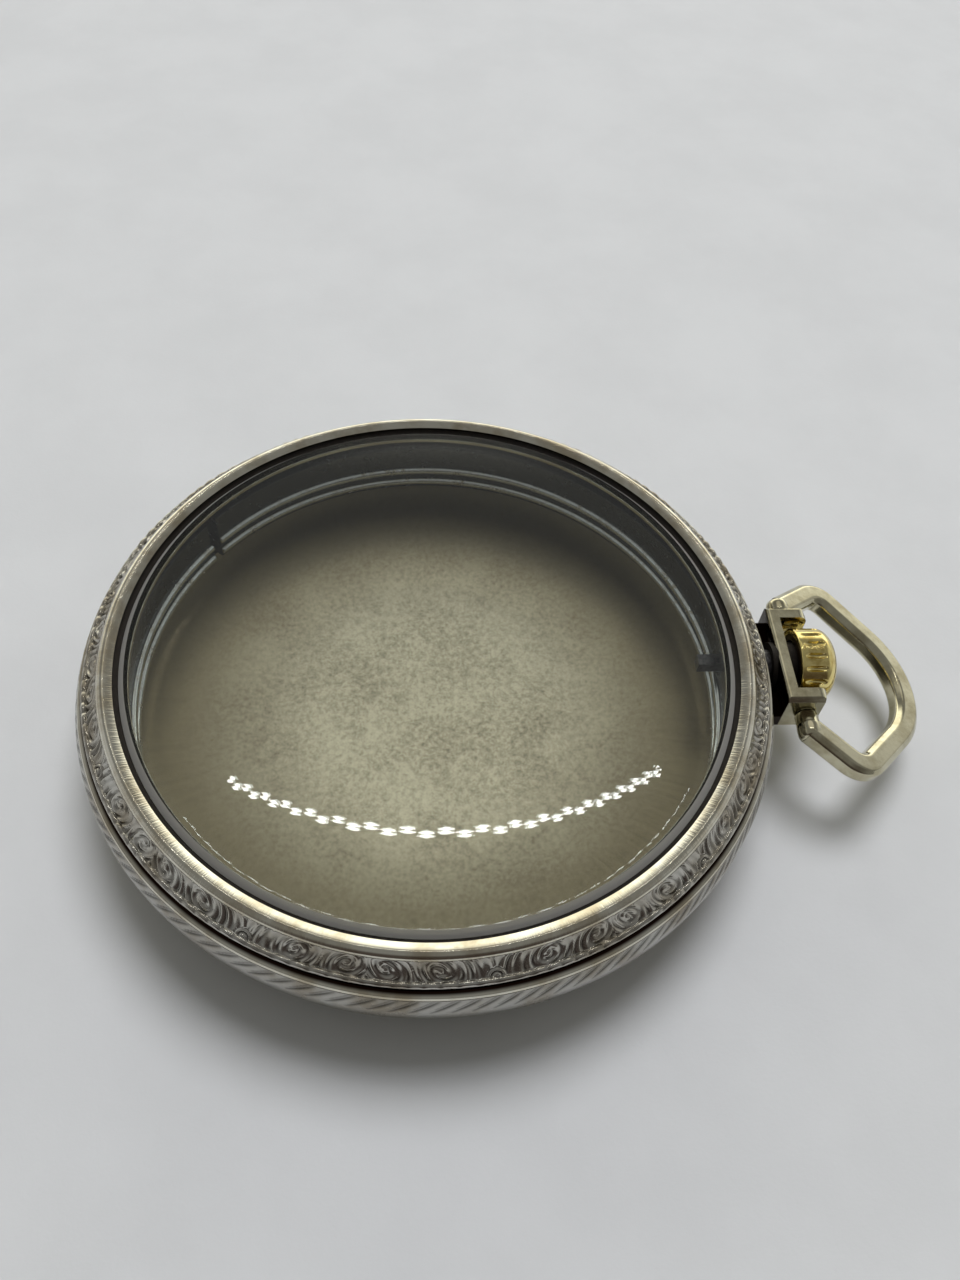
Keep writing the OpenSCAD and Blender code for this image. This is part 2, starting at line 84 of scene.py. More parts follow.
class CaseSizes(bpy.types.PropertyGroup):
    """Sizes of the turned pieces."""
    seat_r: length("Seat radius", "Radius of the movement's seat", 19.975)
    bore_r: length("Bore radius", "Radius of the movement ring's bore", 19.425)
    ring_r: length("Ring radius", "Outer radius of the movement ring", 20.435)
    ring_z0: length("Ring foot", "Height of the movement ring's lower edge", 3.30)
    ring_z1: length("Ring top", "Height of the movement ring's upper edge", 8.05)
    seat_z: length("Seat height", "Height of the ledge under the movement", 7.20)
    ridge_r: length("Ridge radius", "Radius of the two round ridges", 0.30)
    ridge_z: length("Ridge height", "Height of the upper ridge", 5.0)
    ridge_pitch: length("Ridge pitch", "Distance between the ridges", 1.1)
    notch_w: length("Notch width", "Width of the steady pin's notch", 0.8)
    notch_a: FloatProperty(name="Notch angle", description="Azimuth of the notch",
                           default=np.radians(143), subtype="ANGLE")
    stem_hole_r: length("Stem hole", "Radius of the ring's hole for the stem", 0.81)
    inner_r: length("Band bore", "Radius of the bore of the centre band", 20.445)
    rim_r: length("Upper rim", "Radius of the rim that the bezel snaps over", 20.945)
    rim_z1: length("Upper rim top", "Height of the top of that rim", 8.50)
    back_rim_r: length("Lower rim", "Radius of the rim that the back snaps over", 21.245)
    back_rim_z0: length("Lower rim foot", "Height of the foot of that rim", 2.90)
    band_z0: length("Band foot", "Height of the band's lower shoulder", 3.70)
    band_z1: length("Band top", "Height of the band's upper shoulder", 7.70)
    band_edge_r: length("Band edge", "Radius of the band's upper edge", 22.045)
    band_r: length("Band radius", "Radius of the band at its widest", 22.845)
    band_curve: length("Band curve", "Radius of the band's convex face", 3.2)
    band_waist_z: length("Band waist", "Height of the band's widest point", 6.0)
    zone_z0: length("Slash zone foot", "Height of the slashed zone's lower edge", 4.10)
    zone_z1: length("Slash zone top", "Height of the slashed zone's upper edge", 7.46)
    zone_d: length("Slash zone depth", "How far the body is cut back for the zone", 0.15)
    joint_z: length("Joint height", "Height of the joint of bezel and band", 7.80)
    sleeve_r: length("Sleeve hole", "Radius of the band's hole for the sleeve", 1.11)
    back_h: length("Back height", "Height of the back's rim", 3.65)
    back_t: length("Back thickness", "Thickness of the back's sheet", 0.45)
    back_rest_r: length("Rest radius", "Radius of the back's flat rest face", 7.0)
    back_floor_r: length("Floor radius", "Radius of the back's flat floor", 11.5)
    back_dome_r: length("Back dome", "Radius of the back's shallow dome", 90.0)
    back_turn_r: length("Back turn", "Radius of the turn up to the back's rim", 3.4)
    back_bore_r: length("Back bore", "Radius inside the back's rim", 21.295)
    back_r: length("Back radius", "Outer radius of the back", 21.895)
    flange_bore_r: length("Flange bore", "Radius of the opening under the crystal", 19.055)
    flange_z0: length("Flange foot", "Height of the underside of the flange", 8.20)
    flange_r: length("Flange radius", "Outer radius of the flange", 20.395)
    glass_z0: length("Crystal seat", "Height of the crystal's seat", 8.50)
    glass_r: length("Crystal radius", "Radius of the crystal", 19.685)
    glass_t: length("Crystal thickness", "Thickness of the crystal", 0.85)
    glass_rise: length("Crystal rise", "Rise of the crystal's dome", 0.9)
    glass_bevel: length("Crystal bevel", "Width of the bevel round the crystal", 0.4)
    cement_h: length("Cement height", "Height of the cement above the seat", 0.5)
    lip_r: length("Lip radius", "Inner radius of the bezel's lip", 19.975)
    groove_r: length("Groove radius", "Radius of the groove under the lip", 20.195)
    lip_hang: length("Lip overhang", "How far the lip hangs over the groove", 0.22)
    lip_z: length("Lip height", "Height of the lip", 9.30)
    bead_r: length("Bead radius", "Outer radius of the polished bead", 20.975)
    bead_z: length("Bead foot", "Height of the bead's outer edge", 9.24)
    crest_in: length("Crest place", "Distance of the bead's crest from the lip", 0.53)
    crest_rise: length("Crest rise", "Rise of the bead's crest over the lip", 0.25)
    lip_swell: length("Lip swell", "Swell of the bead's inner face", 0.014)
    bead_swell: length("Bead swell", "Swell of the bead's outer face", 0.09)
    thin_bead_r: length("Thin bead", "Radius of the thin bead's section", 0.20)
    thin_bead_x: length("Thin bead place", "Radius at which the thin bead runs", 21.895)
    thin_bead_z: length("Thin bead height", "Height of the thin bead's middle", 8.15)
    slope_hollow: length("Slope hollow", "Hollow of the engraved slope", 0.08)
    skirt_r: length("Skirt radius", "Outer radius of the bezel's skirt", 21.995)
    skirt_bore_r: length("Skirt bore", "Radius inside the bezel's skirt", 20.995)
    skirt_z0: length("Skirt foot", "Height of the skirt's foot", 7.75)
    roof_z: length("Skirt roof", "Height of the skirt's roof over the rim", 8.60)


class PendantSizes(bpy.types.PropertyGroup):
    """Sizes of the pieces along the pendant."""
    axis_z: length("Axis height", "Height of the pendant's axis", 6.30)
    crown_x: length("Crown base", "Place of the crown's open edge", 24.445)
    crown_r: length("Crown radius", "Radius of the crown", 2.55)
    crown_skirt: length("Crown skirt", "Length of the crown's straight skirt", 1.6)
    crown_dome: length("Crown dome", "Height of the crown's dome", 1.4)
    crown_edge: length("Crown edge", "Rounding of the crown's open edge", 0.12)
    core_r: length("Core radius", "Radius of the core inside the shell", 2.15)
    core_end: length("Core end", "Place of the core's outer end", 26.434)
    furrow_l: length("Furrow length", "Length of each furrow", 1.5)
    furrow_w: length("Furrow width", "Width of each furrow", 0.34)
    furrow_d: length("Furrow depth", "Depth of each furrow", 0.22)
    furrow_in: length("Furrow start", "Distance of the furrows from the edge", 0.25)
    wall_x: length("Cradle wall", "Place of the cradle's side towards the band", 23.145)
    cradle_edge: length("Cradle edge", "Rounding of the cradle's edges", 0.10)
    pivot_x: length("Pivot place", "Place of the bow's pivots", 24.695)
    bow_reach: length("Bow reach", "Reach of the bow from its pivots", 10.1)
    bow_w: length("Bow width", "Width of the bow's bar", 1.75)
    bow_t: length("Bow thickness", "Thickness of the bow's bar", 1.5)
    bow_bevel: length("Bow bevel", "Bevel of the bow's bar", 0.36)
    bow_round: length("Bow rounding", "Rounding of the bar's edges", 0.3)
    nose_r: length("Nose radius", "Radius of the nose along the bar's middle", 5.55)
    shoulder_r: length("Shoulder radius", "Radius of the shoulders' bends", 1.6)
    eye_y: length("Eye place", "Distance of the eyes' middles from the bow's", 5.0)
    eye_w: length("Eye width", "Width of the eyes", 1.5)
    eye_r: length("Eye radius", "Radius of the eyes", 0.8)
    pin_r: length("Pin radius", "Radius of the pivot pins", 0.6)
    collar_y: length("Collar place", "Start of the collar between eye and arm", 3.8)
    pin_y0: length("Pin start", "Distance of the pins' inner ends from its middle", 3.25)
    bow_shift: length("Bow shift", "How far the bow stands to the side", 0.2)
    nose_half: FloatProperty(name="Nose angle", description="Half of the nose's turn",
                             default=np.radians(48.5), subtype="ANGLE")
    arm_flare: FloatProperty(name="Arm flare", description="Angle by which the arms spread",
                             default=np.radians(35), subtype="ANGLE")
    droop: FloatProperty(name="Droop", description="Angle of the bow below level",
                         default=np.radians(20), subtype="ANGLE")
    furrows: IntProperty(name="Furrows", description="Number of furrows", default=18)


class OrnamentSizes(bpy.types.PropertyGroup):
    """Sizes of the engraving on the bezel and the slashes on the band."""
    relief: length("Relief", "Height of the engraved lobes", 0.06)
    lobe: length("Lobe pitch", "Distance from one turn of a scroll to the next", 0.46)
    boss_r: length("Boss radius", "Radius of the boss in each scroll", 0.16)
    fan_lobe: length("Fan pitch", "Distance between the fan's arcs", 0.30)
    fan_r: length("Fan radius", "Radius of the fans", 0.55)
    rosette_1: length("First rosette", "Distance of the first rosette from a fan", 2.9)
    rosette_2: length("Second rosette", "Distance of the second rosette from a fan", 5.75)
    slash_pitch: length("Slash pitch", "Distance between the band's slashes", 1.15)
    slash_l: length("Slash length", "Length of a slash round the band", 1.60)
    slash_h: length("Slash height", "Height of a slash", 0.95)
    slash_w: length("Slash width", "Width of a slash's cut", 0.27)
    slash_d: length("Slash depth", "Depth of a slash's cut", 0.06)
    slash_z1: length("Upper slash line", "Height of the upper slashes' middle line", 6.90)
    slash_z0: length("Lower slash line", "Height of the lower slashes' middle line", 4.65)
    fine_gap: length("Fine slash gap", "Distance of the fine slash from the main one", 0.22)
    hatch: length("Hatch pitch", "Distance between the hatch lines over the lip", 0.10)
    cells: IntProperty(name="Cells", description="Repeats of the engraving", default=10)


class StudioSizes(bpy.types.PropertyGroup):
    """The camera, as fitted to the rings of the case, and the lamps."""
    aim_z: length("Aim height", "Height of the point on the axis that it aims near", 8.3)
    distance: length("Distance", "Distance of the camera", 68.547)
    aside: length("Aside", "Shift of the camera to its right", 3.146)
    above: length("Above", "Shift of the camera upwards", 0.624)
    lens: FloatProperty(name="Lens", description="Focal length in millimetres",
                        default=SENSOR*1050/1280, unit="CAMERA")
    elevation: FloatProperty(name="Elevation", description="Angle above the horizon",
                             default=np.radians(53.507), subtype="ANGLE")
    azimuth: FloatProperty(name="Azimuth", description="Angle round the case",
                           default=np.radians(-6.6), subtype="ANGLE")
    roll: FloatProperty(name="Roll", description="Turn about the view's axis",
                        default=np.radians(5.183), subtype="ANGLE")
    key_azimuth: FloatProperty(name="Key azimuth", description="Direction of the key lamp",
                               default=np.radians(72), subtype="ANGLE")
    key_elevation: FloatProperty(name="Key elevation", description="Height of the key lamp",
                                 default=np.radians(68), subtype="ANGLE")
    key_power: FloatProperty(name="Key power", description="Power of the key lamp",
                             default=11.6, unit="POWER")
    key_distance: length("Key distance", "Distance of the key lamp", 1300)
    key_size: length("Key size", "Width of the key lamp", 700)
    key_colour: colour("Key colour", "Colour of the key lamp", "#F8F8FF")
    floor_half: length("Floor reach", "Half of the paper's width", 600)


class FinishColours(bpy.types.PropertyGroup):
    """Colours of the finishes."""
    paper: colour("Paper", "Sheet that the case lies on", "#D2D4D3")
    nickel: colour("White metal", "Polished case metal", "#D7D4C6")
    nickel_shade: colour("White metal shade", "Case metal where it has dulled", "#B5AB95")
    pendant: colour("Pendant metal", "Polished metal of the bow and the cradle", "#CBC6AC")
    pendant_shade: colour("Pendant shade", "The same metal where it has dulled", "#A79F82")
    grime: colour("Grime", "Dirt in the cuts and hollows", "#2A2520")
    # Painted shade: the dark line in the joint of bezel and band, and the dark wall of the
    # cradle that faces the band.
    shaded_joint: colour("Joint dirt", "Old dirt in joints and corners", "#2E1D17")
    # Dulling of the engraved faces, and partly painted shade that darkens them.
    cut: colour("Engraving", "Dulling of the engraved faces", "#E2E3EA")
    back: colour("Back inside", "Brushed, tarnished inside of the back", "#E0D6B6")
    # Painted shade: darker towards the edge, under the wall, with browner tarnish.
    back_edge: colour("Back edge", "Inside of the back towards its edge", "#7C7050")
    back_dark: colour("Back stain", "Darker stain on the back", "#6E6144")
    ring: colour("Ring", "Turned movement ring", "#E4E6E4")
    gold: colour("Gold", "Crown's shell", "#F0DE96")
    gold_shade: colour("Gold shade", "The shell where it has dulled", "#C4AA60")
    # Dark colour of the ring's bore behind its ridges.
    ring_bore_dark: colour("Ring tarnish", "The ring where it isn't rubbed bright", "#4E4F4E")
    glass: colour("Glass", "Clear crystal", "#F6FAFA")
    glass_rim: colour("Glass rim", "Ground bevel of the crystal", "#A9A8A2")
    glass_light: colour("Glass light", "Lamplight that comes through the glass", "#F2F6F6")
    # Also the neck tube's colour, where it is painted shade.
    cement: colour("Cement", "Old cement round the crystal", "#1C1712")
    steel: colour("Steel", "Hardened stem and sleeve", "#6B6A6C")
    # Painted shade: the dark colour stands for the shade where the core shows at the crown's
    # open edge.
    core: colour("Core", "Crown's base metal core, dark with dirt", "#4A3B22")
    leather: colour("Leather", "Dust washer", "#3B2416")


GROUPS = {"case_sizes": CaseSizes, "pendant_sizes": PendantSizes,
          "ornament_sizes": OrnamentSizes, "studio_sizes": StudioSizes,
          "finish_colours": FinishColours}


def in_mm(group):
    """A property group's lengths in millimetres, and its other values as they are."""
    values = {}
    for prop in group.bl_rna.properties:
        if prop.identifier not in ("rna_type", "name"):
            value = getattr(group, prop.identifier)
            values[prop.identifier] = value/MM if prop.unit == "LENGTH" else value
    return SimpleNamespace(**values)


# Outlines and surfaces


def arc(centre, radius, start, end, count=12):
    """centre + radius*(cos a, sin a), with a in degrees from start to end."""
    a = np.radians(np.linspace(start, end, count + 1))
    return np.asarray(centre) + radius*np.stack([np.cos(a), np.sin(a)], 1)


def bowed(start, end, rise, count=12):
    """A circle's arc from start to end whose middle lies rise to the left of its chord.

    With the chord d and the rise h, which isn't 0, the radius is (d*d/4 + h*h)/(2*h).
    """
    p, q = np.asarray(start, float), np.asarray(end, float)
    d = np.linalg.norm(q - p)
    left = np.array([p[1] - q[1], q[0] - p[0]])/d
    radius = (d*d/4 + rise*rise)/(2*abs(rise))
    sign = np.sign(rise)
    centre = (p + q)/2 - sign*left*(radius - abs(rise))
    a0 = np.degrees(np.arctan2(*(p - centre)[::-1]))
    return arc(centre, radius, a0, a0 - sign*2*np.degrees(np.arcsin(d/2/radius)), count)


def dome(radius, height, rise, count=24):
    """Points from the axis out to radius on a ball's cap that rises by rise in the middle."""
    ball = (radius*radius + rise*rise)/(2*rise)
    a = np.linspace(0, np.arcsin(radius/ball), count + 1)
    return np.stack([ball*np.sin(a), height + rise - ball*(1 - np.cos(a))], 1)


def rounded(corners, count=4, reach=0.03):
    """A closed outline through corners (x, y, radius), each turned into an arc.

    The arc touches both sides at radius/tan(half the corner's angle) from the corner, and
    one more point on each side, reach further on, keeps the flat stretch's shading flat.
    """
    c = np.array([tuple(p) + (0,)*(3 - len(p)) for p in corners], float)
    out = []
    for before, here, after in zip(np.roll(c, 1, 0), c, np.roll(c, -1, 0)):
        p, r = here[:2], here[2]
        if r == 0:
            out.append([p])
            continue
        to_a, to_b = before[:2] - p, after[:2] - p
        la, lb = np.linalg.norm(to_a), np.linalg.norm(to_b)
        to_a, to_b = to_a/la, to_b/lb
        half = np.arccos(np.clip(to_a @ to_b, -1, 1))/2
        t = r/np.tan(half)
        middle = p + (to_a + to_b)/np.linalg.norm(to_a + to_b)*r/np.sin(half)
        a, b = p + to_a*t - middle, p + to_b*t - middle
        turn = np.arctan2(a[0]*b[1] - a[1]*b[0], a @ b)
        angles = np.arctan2(a[1], a[0]) + np.linspace(0, turn, count + 1)
        bend = middle + r*np.stack([np.cos(angles), np.sin(angles)], 1)
        sides = [[p + to_a*(t + reach)] if la > 2*(t + reach) else np.empty((0, 2)), bend,
                 [p + to_b*(t + reach)] if lb > 2*(t + reach) else np.empty((0, 2))]
        out.extend(sides)
    return np.concatenate(out)


def about_z(outline, segments=720, start=0.0, end=360.0):
    """A grid of outline points by turns: (r*cos a, r*sin a, z) for a in degrees."""
    full = abs(end - start) >= 360
    a = np.radians(np.linspace(start, end, segments + (0 if full else 1), endpoint=not full))
    r, z = outline[:, 0:1], outline[:, 1:2]
    return np.stack([r*np.cos(a), r*np.sin(a), z + 0*a], 2)


def about_x(outline, axis_z, segments=256):
    """A grid of [radius, x] points turned about the pendant's axis."""
    a = np.linspace(0, 2*np.pi, segments, endpoint=False)
    r, x = outline[:, 0:1], outline[:, 1:2]
    return np.stack([x + 0*a, r*np.cos(a), axis_z + r*np.sin(a)], 2)


def surface(grid, rows="loop", columns="loop"):
    """Points and faces of a closed surface over a grid of points.

    rows: "loop" joins the last row to the first, "poles" closes the first and the last row
    to one point each. columns: "loop" joins the last column to the first, "ends" closes
    the first and the last column with a face each. The faces are turned so that the
    volume, the sum of a.(b x c)/6 over the triangles, is positive.
    """
    n, m = grid.shape[:2]
    points = grid.reshape(-1, 3)
    i = np.arange(n if rows == "loop" else n - 1)[:, None]
    j = np.arange(m if columns == "loop" else m - 1)[None, :]
    if rows == "poles":
        i = i[1:-1]
    above, beside = (i + 1) % n, (j + 1) % m
    quads = np.stack([i*m + j, above*m + j, above*m + beside, i*m + beside], 2)
    quads = quads.reshape(-1, 4)
    a, b, c, d = (points[quads[:, s]] for s in range(4))
    volume = np.einsum("ij,ij->", a, np.cross(b, c) + np.cross(c, d))
    faces = quads.tolist()
    if rows == "poles":
        ring = np.arange(m)
        low, high = len(points), len(points) + 1
        first, last = m + ring, (n - 2)*m + ring
        points = np.concatenate([points, grid[0, :1], grid[-1, :1]])
        faces += np.stack([np.full(m, low), first, np.roll(first, -1)], 1).tolist()
        faces += np.stack([np.full(m, high), np.roll(last, -1), last], 1).tolist()
        used = np.ones(len(points), bool)
        used[:m] = used[(n - 1)*m:n*m] = False
        number = np.cumsum(used) - 1
        faces = [[number[v] for v in f] for f in faces]
        points = points[used]
    if columns == "ends":
        faces.append((np.arange(n)*m)[::-1].tolist())
        faces.append((np.arange(n)*m + m - 1).tolist())
    if volume < 0:
        faces = [f[::-1] for f in faces]
    return points, faces


def piece(name, *surfaces, sharp=40, relief=None):
    """An object from one or more surfaces in millimetres, smooth but for sharp edges."""
    points, faces, start = [], [], 0
    for p, f in surfaces:
        points.append(p)
        faces += [[v + start for v in face] for face in f]
        start += len(p)
    mesh = bpy.data.meshes.new(name)
    mesh.from_pydata((np.concatenate(points)*MM).tolist(), [], faces)
    mesh.polygons.foreach_set("use_smooth", np.ones(len(mesh.polygons), bool))
    if sharp < 180:
        mesh.set_sharp_from_angle(angle=np.radians(sharp))
    if relief is not None:
        data = mesh.attributes.new("relief", "FLOAT", "POINT").data
        data.foreach_set("value", relief.ravel().astype(np.float32))
    mesh.update()
    if mesh.validate():
        raise RuntimeError(f"{name} has faces that Blender had to mend")
    made = bpy.data.objects.new(name, mesh)
    bpy.context.scene.collection.objects.link(made)
    return made


def cut(made, *surfaces):
    """Takes closed surfaces out of an object, and leaves the result in its mesh."""
    tool = piece("cutter", *surfaces, sharp=180)
    modifier = made.modifiers.new("cut", "BOOLEAN")
    modifier.operation, modifier.solver, modifier.object = "DIFFERENCE", "EXACT", tool
    graph = bpy.context.evaluated_depsgraph_get()
    mesh = bpy.data.meshes.new_from_object(made.evaluated_get(graph))
    made.modifiers.clear()
    made.data = mesh
    bpy.data.objects.remove(tool)


def box_surface(low, high):
    """A block between two corners, as a square outline carried upwards."""
    (x0, y0, z0), (x1, y1, z1) = low, high
    square = np.array([[x0, y0], [x1, y0], [x1, y1], [x0, y1]], float)
    grid = np.stack([np.column_stack([square, np.full(4, z)]) for z in (z0, z1)], 1)
    return surface(grid, columns="ends")


def rod_surface(radius, start, end, axis_z):
    """A round rod along the pendant's axis, closed at start and end."""
    rod = np.array([[0, start], [radius, start], [radius, end], [0, end]])
    return surface(about_x(rod, axis_z, 96), rows="poles")


def finish(made, material, body, *nodes, slot):
    """Gives a piece its material, its body and the nodes it stands for; slot is not used."""
    made.data.materials.clear()
    made.data.materials.append(material)
    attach(made, body)
    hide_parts(*nodes)
    return made


# Materials


def add_node(tree, kind, inputs=(), **settings):
    """Adds a node. An input is a value, or (node, output) where it is linked."""
    node = tree.nodes.new(kind)
    for name, value in settings.items():
        setattr(node, name, value)
    for name, value in dict(inputs).items():
        if isinstance(value, tuple) and isinstance(value[0], bpy.types.Node):
            tree.links.new(value[0].outputs[value[1]], node.inputs[name])
        else:
            node.inputs[name].default_value = value
    return node


def new_material(name, **sockets):
    """A material with its principled shader's sockets set, its node tree and the shader."""
    material = bpy.data.materials.new(name)
    material.use_nodes = True
    shader = material.node_tree.nodes["Principled BSDF"]
    for socket, value in sockets.items():
        shader.inputs[socket.replace("_", " ")].default_value = value
    return material, material.node_tree, shader


def feed(tree, shader, **sources):
    """Links each source, a node with one of its outputs, to the shader's socket."""
    for socket, (node, output) in sources.items():
        tree.links.new(node.outputs[output], shader.inputs[socket.replace("_", " ")])


def per(mm):
    """The texture scale, per metre, that gives features of this size."""
    return 1/(mm*MM)


def ramp(tree, source, low, high, a, b):
    """A colour that goes from a, where source is low, to b, where it is high."""
    share = add_node(tree, "ShaderNodeMapRange", {
        0: source, 1: low, 2: high, 3: 0.0, 4: 1.0}, interpolation_type="SMOOTHSTEP")
    return add_node(tree, "ShaderNodeMix", {0: (share, 0), 6: a, 7: b}, data_type="RGBA")


def darkened(tree, tint, *layers):
    """A colour with darker layers over it, dirt and painted shade, each multiplied with what
    lies under it.
    """
    for layer in layers:
        tint = add_node(tree, "ShaderNodeMix", {0: 1.0, 6: (tint, 2), 7: (layer, 2)},
                        data_type="RGBA", blend_type="MULTIPLY")
    return tint


def from_axis(tree, place):
    """How far a place lies from the case's axis, and the way out to it as a unit."""
    flat = add_node(tree, "ShaderNodeVectorMath", {0: place, 1: (1, 1, 0)},
                    operation="MULTIPLY")
    radius = add_node(tree, "ShaderNodeVectorMath", {0: (flat, 0)}, operation="LENGTH")
    outwards = add_node(tree, "ShaderNodeVectorMath", {0: (flat, 0)}, operation="NORMALIZE")
    return (radius, "Value"), (outwards, 0)


def round_and_round(tree, place, fine_mm, long_mm):
    """Streaks that run round the case: noise over the radius and the height, fine_mm apart
    and about long_mm long."""
    radius, outwards = from_axis(tree, place)
    along = add_node(tree, "ShaderNodeVectorMath", {
        0: outwards, "Scale": 20*fine_mm/long_mm*MM}, operation="SCALE")
    height = add_node(tree, "ShaderNodeSeparateXYZ", {0: place})
    across = add_node(tree, "ShaderNodeMath", {0: radius, 1: (height, "Z")})
    lift = add_node(tree, "ShaderNodeCombineXYZ", {"Z": (across, 0)})
    at = add_node(tree, "ShaderNodeVectorMath", {0: (along, 0), 1: (lift, 0)})
    return add_node(tree, "ShaderNodeTexNoise", {
        "Vector": (at, 0), "Scale": per(fine_mm), "Detail": 2, "Roughness": 0.6})


def across_the_ring(tree, place, fine_mm):
    """Fine lines that run outwards from the axis: noise over the direction alone, as it is
    20 mm from the axis, fine_mm apart."""
    outwards = from_axis(tree, place)[1]
    at = add_node(tree, "ShaderNodeVectorMath", {0: outwards, "Scale": 20*MM},
                  operation="SCALE")
    return add_node(tree, "ShaderNodeTexNoise", {
        "Vector": (at, 0), "Scale": per(fine_mm), "Detail": 2, "Roughness": 0.6})


def white_metal(colours, grime=0.0, hatch=0, shaded_joint=0):
    """White base metal, turned and polished, dulled by wear: a bright, slightly yellow metal
    with soft cloudy patches and fine scratches, or hatch mm apart fine lines across the ring.
    Cut metal has dirt, darker where relief comes nearer to -grime, and the engraved faces are
    darkened by the cut colour, which is dulling and partly painted shade. A dark line of
    painted shade runs round the joint between the bezel and the band, at the height given for
    the joint."""
    kind = "hatched" if hatch else "engraved" if grime else "polished"
    material, tree, shader = new_material(kind + "_white_metal", Metallic=1.0)
    place = (add_node(tree, "ShaderNodeTexCoord"), "Object")
    cloud = add_node(tree, "ShaderNodeTexNoise", {
        "Vector": place, "Scale": per(2.6), "Detail": 4, "Roughness": 0.6})
    tint = ramp(tree, (cloud, 0), 0.35, 0.7, colours.nickel, colours.nickel_shade)
    smooth, dull = (0.16, 0.30) if grime else (0.08, 0.20)
    rough = add_node(tree, "ShaderNodeMapRange", {0: (cloud, 0), 1: 0.3, 2: 0.7,
                                                  3: smooth, 4: dull})
    if hatch:
        marks = across_the_ring(tree, place, hatch)
    else:
        marks = add_node(tree, "ShaderNodeTexNoise", {
            "Vector": place, "Scale": per(0.16), "Detail": 3, "Roughness": 0.65})
    bump = add_node(tree, "ShaderNodeBump", {
        "Height": (marks, 0), "Strength": 0.5 if hatch else 0.08, "Distance": 0.03*MM})
    dirt = []
    if grime:
        relief = add_node(tree, "ShaderNodeAttribute", attribute_name="relief")
        # The cut colour darkens the engraved faces: dulling, and partly painted shade.
        dirt.append(ramp(tree, (relief, "Fac"), -grime, 0.5, colours.grime, colours.cut))
    # Painted shade: a dark line round the case at the joint of bezel and band stands for the
    # shade and dark reflection there.
    if shaded_joint:
        level = add_node(tree, "ShaderNodeSeparateXYZ", {0: place})
        off = add_node(tree, "ShaderNodeMath", {0: (level, "Z"), 1: shaded_joint*MM},
                       operation="SUBTRACT")
        off = add_node(tree, "ShaderNodeMath", {0: (off, 0)}, operation="ABSOLUTE")
        dirt.append(ramp(tree, (off, 0), 0.13*MM, 0.20*MM, colours.shaded_joint, UNDARKENED))
    feed(tree, shader, Base_Color=(darkened(tree, tint, *dirt), 2), Roughness=(rough, 0),
         Normal=(bump, 0))
    return material


def pendant_metal(colours, shade_x=0):
    """Yellowish white metal, cast and polished: deep soft reflections and light wear. What
    faces the band, up to the given x in mm, is darkened with painted shade."""
    name = "pendant_metal_painted_shade" if shade_x else "polished_pendant_metal"
    material, tree, shader = new_material(name, Metallic=1.0)
    place = (add_node(tree, "ShaderNodeTexCoord"), "Object")
    cloud = add_node(tree, "ShaderNodeTexNoise", {
        "Vector": place, "Scale": per(1.8), "Detail": 4, "Roughness": 0.6})
    tint = ramp(tree, (cloud, 0), 0.35, 0.75, colours.pendant, colours.pendant_shade)
    rough = add_node(tree, "ShaderNodeMapRange", {0: (cloud, 0), 1: 0.3, 2: 0.7,
                                                  3: 0.07, 4: 0.16})
    wear = add_node(tree, "ShaderNodeTexNoise", {
        "Vector": place, "Scale": per(0.5), "Detail": 3, "Roughness": 0.6})
    bump = add_node(tree, "ShaderNodeBump", {"Height": (wear, 0), "Strength": 0.12,
                                             "Distance": 0.04*MM})
    # Painted shade: the cradle's wall that faces the band is darkened for the shade in the
    # recess between them.
    if shade_x:
        along = add_node(tree, "ShaderNodeSeparateXYZ", {0: place})
        dirt = ramp(tree, (along, "X"), (shade_x - 0.04)*MM, (shade_x + 0.04)*MM,
                    colours.shaded_joint, UNDARKENED)
        tint = darkened(tree, tint, dirt)
    feed(tree, shader, Base_Color=(tint, 2), Roughness=(rough, 0), Normal=(bump, 0))
    return material


